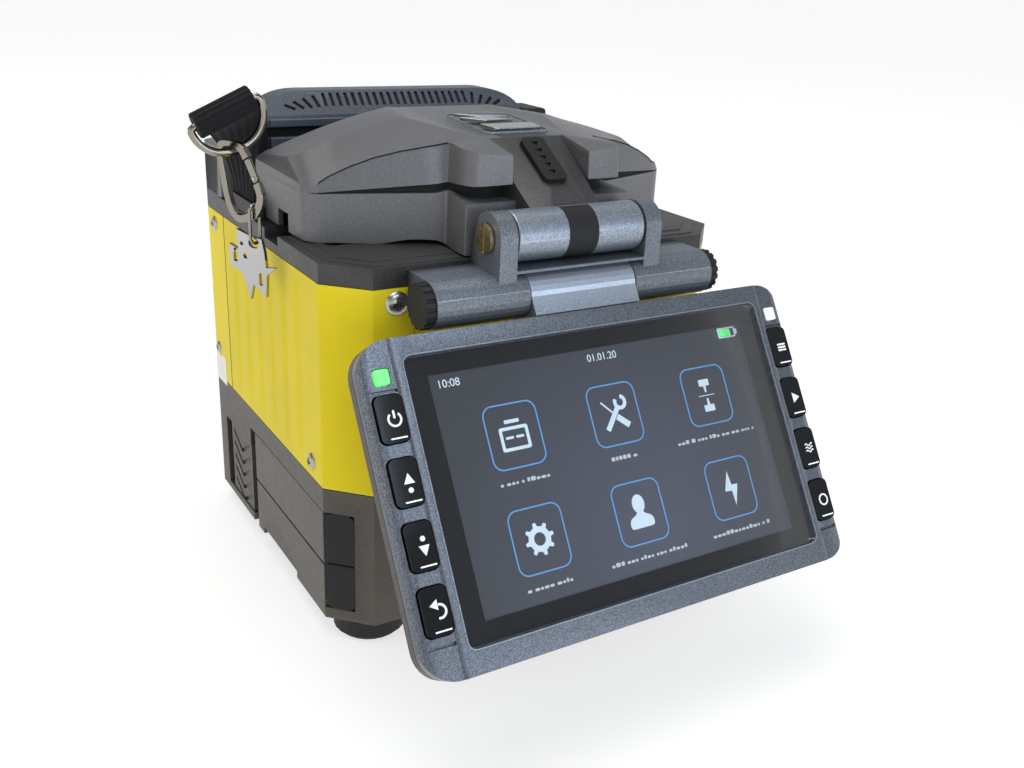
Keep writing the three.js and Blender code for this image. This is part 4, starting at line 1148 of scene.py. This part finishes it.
def add_frame_steps():
    """Low steps in front of the cover and the raised wall behind the strap."""
    for side, label in SIDES:
        step = [(29, 2.6), (55.9, 2.6), (66.7, 13.4), (66.7, 42), (60, 42), (60, 26.4), (29, 26.4)]
        inner = [(29, 6.8), (54.6, 6.8), (62.8, 15), (62.8, 41), (60.2, 41), (60.2, 26.3), (29, 26.3)]
        for name, outline, top in (("outer", step, 121.75), ("inner", inner, 122.02)):
            mesh = prism([(side * x, y) for x, y in outline], "z", 121.3, top)
            show(f"frame_step_{name}_{label}", mesh, "frame_grey", "body", 0.14)
        wall = [(SIDE_X, 100.6), (SIDE_X, 118), (63.3, 124), (62, 124), (62, 100.6)]
        mesh = prism([(side * x, y) for x, y in wall], "z", 121.6, 139)
        show(f"rear_wall_{label}", mesh, "cover_grey", "body", 0.5, slot="cast_grey")


# ---- Strap, ring, hook, link and tag ----

ROLL = Vector((-81.6, 50, 157.4))
ROLL_ANGLE = math.radians(24.7)
ROLL_ALONG = Vector((math.cos(ROLL_ANGLE), 0, math.sin(ROLL_ANGLE)))
ROLL_DOWN = Vector((math.sin(ROLL_ANGLE), 0, -math.cos(ROLL_ANGLE)))
STRAP_HALF = 9.2
HOOK_SIZE, LINK_SIZE, TAG_SIZE = 0.80, 0.66, 0.76
LINK_LENGTH = 12.1


def strap_roll():
    """The webbing's end, folded round the ring's bar, with ribs along the fold."""
    across = ROLL_ALONG.cross(ROLL_DOWN)
    rings = []
    for along, shrink in ((-9.2, 0.55), (-9.2, 0.93), (-8.9, 1.0), (8.9, 1.0), (9.2, 0.93), (9.2, 0.55)):
        ring = []
        for i in range(168):
            angle = 2 * math.pi * i / 168
            radius = (3.5 + 0.22 * math.cos(14 * angle)) * shrink
            spoke = math.cos(angle) * across * 0.92 + math.sin(angle) * ROLL_DOWN * 1.04
            ring.append(ROLL + ROLL_ALONG * along + radius * spoke)
        rings.append(ring)
    return loft(rings)


def strap_ribbon():
    """The flat webbing that twists from the frame's edge up to the fold."""
    foot, bend, top = Vector((-67.4, 78, 126.9)), Vector((-61, 102, 150)), ROLL + Vector((1.4, 2.4, -0.8))
    rings = []
    steps, fine = 40, 48
    for i in range(steps + 1):
        t = i / steps
        centre = foot.lerp(bend, t).lerp(bend.lerp(top, t), t)
        wide = Vector((0, -10, 0)).lerp(ROLL_ALONG * STRAP_HALF, t).normalized() * STRAP_HALF
        thick = wide.cross(top - foot).normalized()
        ring = []
        for sign in (-1, 1):
            for j in range(fine + 1):
                u = (2 * j / fine - 1) * -sign
                depth = 0.95 + 0.16 * math.cos(6 * math.pi * u)
                ring.append(centre + wide * u + thick * depth * sign * (1 if abs(u) < 0.97 else 0.6))
        rings.append(ring)
    return loft(rings)


def ring_points():
    """The D ring's middle line: a straight bar through the fold and a round bow."""
    points = [ROLL + ROLL_ALONG * a for a in (-9.4, -6, -3, 0, 3, 6, 9.4)]
    points += [ROLL + ROLL_ALONG * 10.6 + ROLL_DOWN * 0.4, ROLL + ROLL_ALONG * 11 + ROLL_DOWN * 1.2]
    for i in range(41):
        angle = math.pi * i / 40
        points.append(ROLL + ROLL_ALONG * 11 * math.cos(angle) + ROLL_DOWN * (2 + 9.4 * math.sin(angle)))
    points += [ROLL - ROLL_ALONG * 11 + ROLL_DOWN * 1.2, ROLL - ROLL_ALONG * 10.6 + ROLL_DOWN * 0.4]
    return points


def hanging(point, heading, size):
    """A hanging piece's own frame: x along the heading, z up, and drawn at a size."""
    turn = Matrix.Rotation(math.radians(heading), 4, "Z")
    return Matrix.Translation(point) @ turn @ Matrix.Scale(size, 4)


def add_hinge_details():
    """A raised, lighter line along the hinge bar's front, which is a painted highlight on its edge, and
    collars at the barrel's ends.
    """
    for side, label in SIDES:
        # A thin, lighter line along the bar's front edge: a painted highlight.
        line = [(side * x, -18.0, 116.1) for x in (18.8, 30, 47)]
        show(f"bar_edge_highlight_{label}", tube(line, 0.16, False, 8), "hinge_grey", slot="cast_grey")
        low, high = sorted((side * 21.0, side * 21.75))
        collar = prism(disc(6.9, *COVER_AXIS, 64), "x", low, high)
        show(f"barrel_collar_{label}", collar, "black", "cover")


def add_strap():
    show("strap_fold", strap_roll(), "webbing")
    show("strap_band", strap_ribbon(), "webbing", replaces=["strap_webbing"])
    show("d_ring", tube(ring_points(), 1.15), "nickel", "ring", replaces=["strap_d_ring"])
    link_top = add_hook(ROLL + ROLL_DOWN * 10.8 - ROLL_ALONG * 4)
    link = hanging(link_top, 18, LINK_SIZE)
    eye = [(x, 0, z) for x, z in arc(2.6, 0, 180, 0, 2.6) + arc(2.6, 180, 360, 0, 2.6 - LINK_LENGTH)]
    show("link_wire", tube(eye, 0.75), "nickel", "link", replaces=["wire_link"], at=BODY @ link)
    add_tag(link_top - Vector((0, 0, LINK_LENGTH * LINK_SIZE)))


def add_hook(place):
    """The flat hook with its gate; says where the wire link hangs from it."""
    hook = hanging(place, -66, HOOK_SIZE)
    outer = [
        (-5.4, 1), (-4.2, 4.4), (8.2, 4.6), (18, -12.5), (17.6, -17),
        (13.5, -22.5), (4.5, -25.5), (-0.8, -22), (-3.6, -14),
    ]
    inner = [
        (-2.9, -1.6), (-2.9, 2.3), (6, 2.3), (14.8, -13), (14.4, -16),
        (11.2, -20), (4.8, -22.4), (1.8, -20.5), (-0.8, -13),
    ]
    top, foot = Vector((8.2, 4.6)), Vector((18, -12.5))
    down = (foot - top).normalized()

    def gate_point(along, out):
        """A place on the gate's side of the hook: along it from the top, and out from it."""
        return (top.x + down.x * along - down.y * out, top.y + down.y * along + down.x * out)

    def gate_block(start, end, low, high):
        return [gate_point(start, low), gate_point(start, high), gate_point(end, high), gate_point(end, low)]

    plate = carve(
        prism(filleted(outer, 4.5), "y", -1.05, 1.05), prism(filleted(inner, 3.2), "y", -2, 2),
        prism(gate_block(5.4, 15, -4.5, 1), "y", -2, 2),
    )
    show("hook_plate", plate, "nickel", "hook", 0.55, 4, replaces=["snap_hook"], at=BODY @ hook)
    gate = prism(filleted(gate_block(5.6, 14.6, -2.8, -0.2), 0.9), "y", -0.9, 0.9)
    show("gate_plate", gate, "nickel", "gate", 0.4, 4, replaces=["snap_gate"], at=BODY @ hook)
    pivot = gate_point(13.1, -1.5)
    rivet = prism(disc(0.8, *pivot), "y", -1.35, 1.35)
    show("gate_pivot", rivet, "steel", "gate", 0.2, slot="nickel", at=BODY @ hook)
    return hook @ Vector((12.0, 0, -21.4))


def add_tag(place):
    """The flat tool tag, with points, notches and holes."""
    tag = hanging(place, -56, TAG_SIZE)
    outline = [
        (-2, 2.6), (3.2, 2), (4.4, -3), (5, -9), (9.6, -8.4), (5.2, -12), (4.6, -21), (-1.4, -16.6),
        (-3, -23), (-6.4, -12.6), (-12, -10.4), (-12.4, -1.6), (-8, -3.4), (-8.6, 4.6),
    ]
    holes = [
        rounded(5.1, 3.8, 1.85, -0.37, 0), rounded(2, 4, 0.6, -9.4, -6.4),
        rounded(1.8, 5, 0.6, 2.4, -14), disc(0.9, -6.2, -0.8, 6), disc(1.2, -4.6, -5.6, 6),
        disc(0.8, 2.4, -19.2, 6), disc(0.7, -9.6, -3.6, 6),
    ]
    blade = carve(prism(outline, "y", -0.8, 0.8), *[prism(hole, "y", -2, 2) for hole in holes])
    show("tag_plate", blade, "chrome", "tag", 0.28, replaces=["tool_tag"], at=BODY @ tag)


# ---- Deck, ports and the screen's back ----

def add_deck_details():
    """Screws, lens, clamp pads and lamps that show when the wind cover is open."""
    for i, (x, y) in enumerate(((-54, 31), (54, 31), (-54, 68), (54, 68), (-20, 31), (20, 31))):
        add_screw(f"deck_screw_{i}", (x, y, 112), (0, 0, 1), 1.8)
    lens_ring = ring_prism(disc(4.9), disc(3.4), "z", 0, 1.2)
    lens_ring.transform(Matrix.Translation((0, 50, 114.6)))
    show("lens_ring", lens_ring, "black", "body", 0.2)
    lens = lathe([(0.05, 0.9), (1.2, 0.85), (2.4, 0.55), (3.3, 0.1), (3.3, -0.3)])
    lens.transform(Matrix.Translation((0, 50, 115)))
    show("lens_glass", lens, "gloss_black", slot="glass")
    for side, label in SIDES:
        x = side * 41
        pad = box((x - 9, x + 9), (44, 52), (123.3, 123.85))
        show(f"clamp_pad_{label}", pad, "rubber", f"{label}_clamp", 0.15)
        plate = prism(rounded(18, 13, 1.5, x, 48.5), "z", 126.5, 127.0)
        show(f"clamp_plate_{label}", plate, "steel", f"{label}_clamp", 0.15)
        for k in (-1, 1):
            place = (x + k * 6.5, 48.5, 127)
            add_screw(f"clamp_screw_{label}_{k + 1}", place, (0, 0, 1), 1.3, body=f"{label}_clamp")
            add_screw(f"groove_screw_{label}_{k + 1}", (side * 18, 50 + k * 9, 112), (0, 0, 1), 1.6)
        rail = box(sorted((side * 20, side * 27)), (46, 54), (112.1, 116.5))
        show(f"feed_nose_{label}", rail, "aluminium", f"{label}_stage", 0.3)
        cap = lathe([(0.05, 1.6), (2.2, 1.5), (2.7, 1.1), (2.8, 0)])
        on_mount = BODY @ facing((0, 50 + side * 15, 128.5), (0, 0, 1))
        show(f"electrode_cap_{label}", cap, "brass", at=on_mount)
        lamp = prism(rounded(5, 5, 1, side * 12, 62), "z", 147.2, 148.6)
        show(f"cover_lamp_{label}", lamp, "white_light", "cover", 0.3)


def add_ports():
    """Metal shells round the sockets in the rear port block."""
    face = 123.42
    for name, x, z, width, height in (("wide", -13, 73, 14.6, 6.6), ("small", 2.5, 72.5, 9.6, 5.6)):
        outer, inner = rounded(width, height, 0.9, x, z), rounded(width - 1.1, height - 1.1, 0.5, x, z)
        shell = ring_prism(outer, inner, "y", face - 3, face + 0.15)
        show(f"port_shell_{name}", shell, "steel", "body", 0.08)
        tongue = box((x - width / 2 + 2, x + width / 2 - 2), (face - 5, face - 0.8), (z + 0.2, z + 1.6))
        show(f"port_tongue_{name}", tongue, "black", "body", 0.1)
    ring = ring_prism(disc(4.8, 15, 73), disc(3.7, 15, 73), "y", face - 3, face + 0.2)
    show("jack_ring", ring, "nickel", "body", 0.1)
    show("jack_pin", prism(disc(0.9, 15, 73, 20), "y", face - 5.4, face - 0.9), "brass", "body", 0.2)


def add_screen_back_details():
    """Screws and ribs on the back of the screen's housing."""
    for i, (x, z) in enumerate(((-58, 31), (58, 31), (-58, -32), (58, -32))):
        add_screw(f"screen_screw_{i}", (x, 15.5, z), (0, 1, 0), 2.2, body="screen", base=SCREEN)
    ribs = [box((-40, 40), (15.2, 16.1), (z, z + 1.2)) for z in (-20, -14, -8, -2)]
    show("screen_back_ribs", merged(*ribs), "tray_grey", "screen", 0.3, at=SCREEN)


# ---- Battery grip ----

def add_grip():
    """The tall black finger grip on the sloped front corner, divided at half height."""
    across = Vector((1, -1, 0)).normalized()
    inward = Vector((1, 1, 0)).normalized()
    turn = Matrix((across, inward, Vector((0, 0, 1)))).transposed().to_4x4()
    at = BODY @ Matrix.Translation((-69.3, 11.5, 0)) @ turn
    outline = rounded(9.2, 33.4, 2.2, 5.4, 27.6)
    groove = box((-1, 12), (-3, 0.35), (26.6, 27.2))
    body = carve(prism(outline, "y", -0.25, 3), groove)
    show("grip_insert", body, "gloss_black", "pack", 0.7, replaces=["battery_grip"], at=at)


# Finish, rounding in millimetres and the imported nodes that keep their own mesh.
CARRIED = (
    ("tray_grey", 0.6, "lower_base screen_back"),
    ("tray_grey", 0.5, "battery_pack"),
    ("tray_grey", 0.2, "battery_latch"),
    ("rubber", 0.4, "foot_front_left foot_front_right foot_rear_left foot_rear_right"),
    ("yellow", 0.25, "front_panel rear_panel"),
    ("black", 0.2, "port_block"),
    ("board_green", 0.1, "main_board"),
    ("frame_grey", 0.5, "top_frame"),
    ("rubber", 0.25, "hinge_cap_left hinge_cap_right"),
    ("steel", 0.0, "screen_hinge_shaft front_electrode rear_electrode"),
    ("brass", 0.15, "cover_pin"),
    # The knuckle is in the lighter, bluish grey: a painted reflection of the window.
    ("hinge_grey", 0.3, "screen_knuckle"),
    ("display_glass", 0.0, "display_glass"),
    ("display_panel", 0.0, "display_panel"),
    ("green_light", 0.2, "led_left"),
    ("white_light", 0.2, "led_right"),
    ("rubber", 0.1, "barrel_sleeve"),
    ("black", 0.3, """
        inner_deck front_electrode_mount rear_electrode_mount left_fiber_clamp right_fiber_clamp
    """),
    ("aluminium", 0.3, "microscope left_feed_stage right_feed_stage"),
    ("ceramic", 0.2, "left_v_groove right_v_groove"),
    ("heater_grey", 0.4, "heater_base"),
    ("aluminium", 0.15, "heater_channel"),
    ("black", 0.4, "strap_anchor"),
    ("key_black", 0.5, "key_power key_select key_up key_run key_down key_heat key_back key_stop"),
)

add_camera()
add_studio()
add_cover()
add_screen()
add_heater()
add_panel_details()
add_frame_steps()
add_hinge_details()
add_strap()
add_grip()
add_deck_details()
add_ports()
add_screen_back_details()
for look, bevel, nodes in CARRIED:
    for node in nodes.split():
        dress(node, look, bevel)
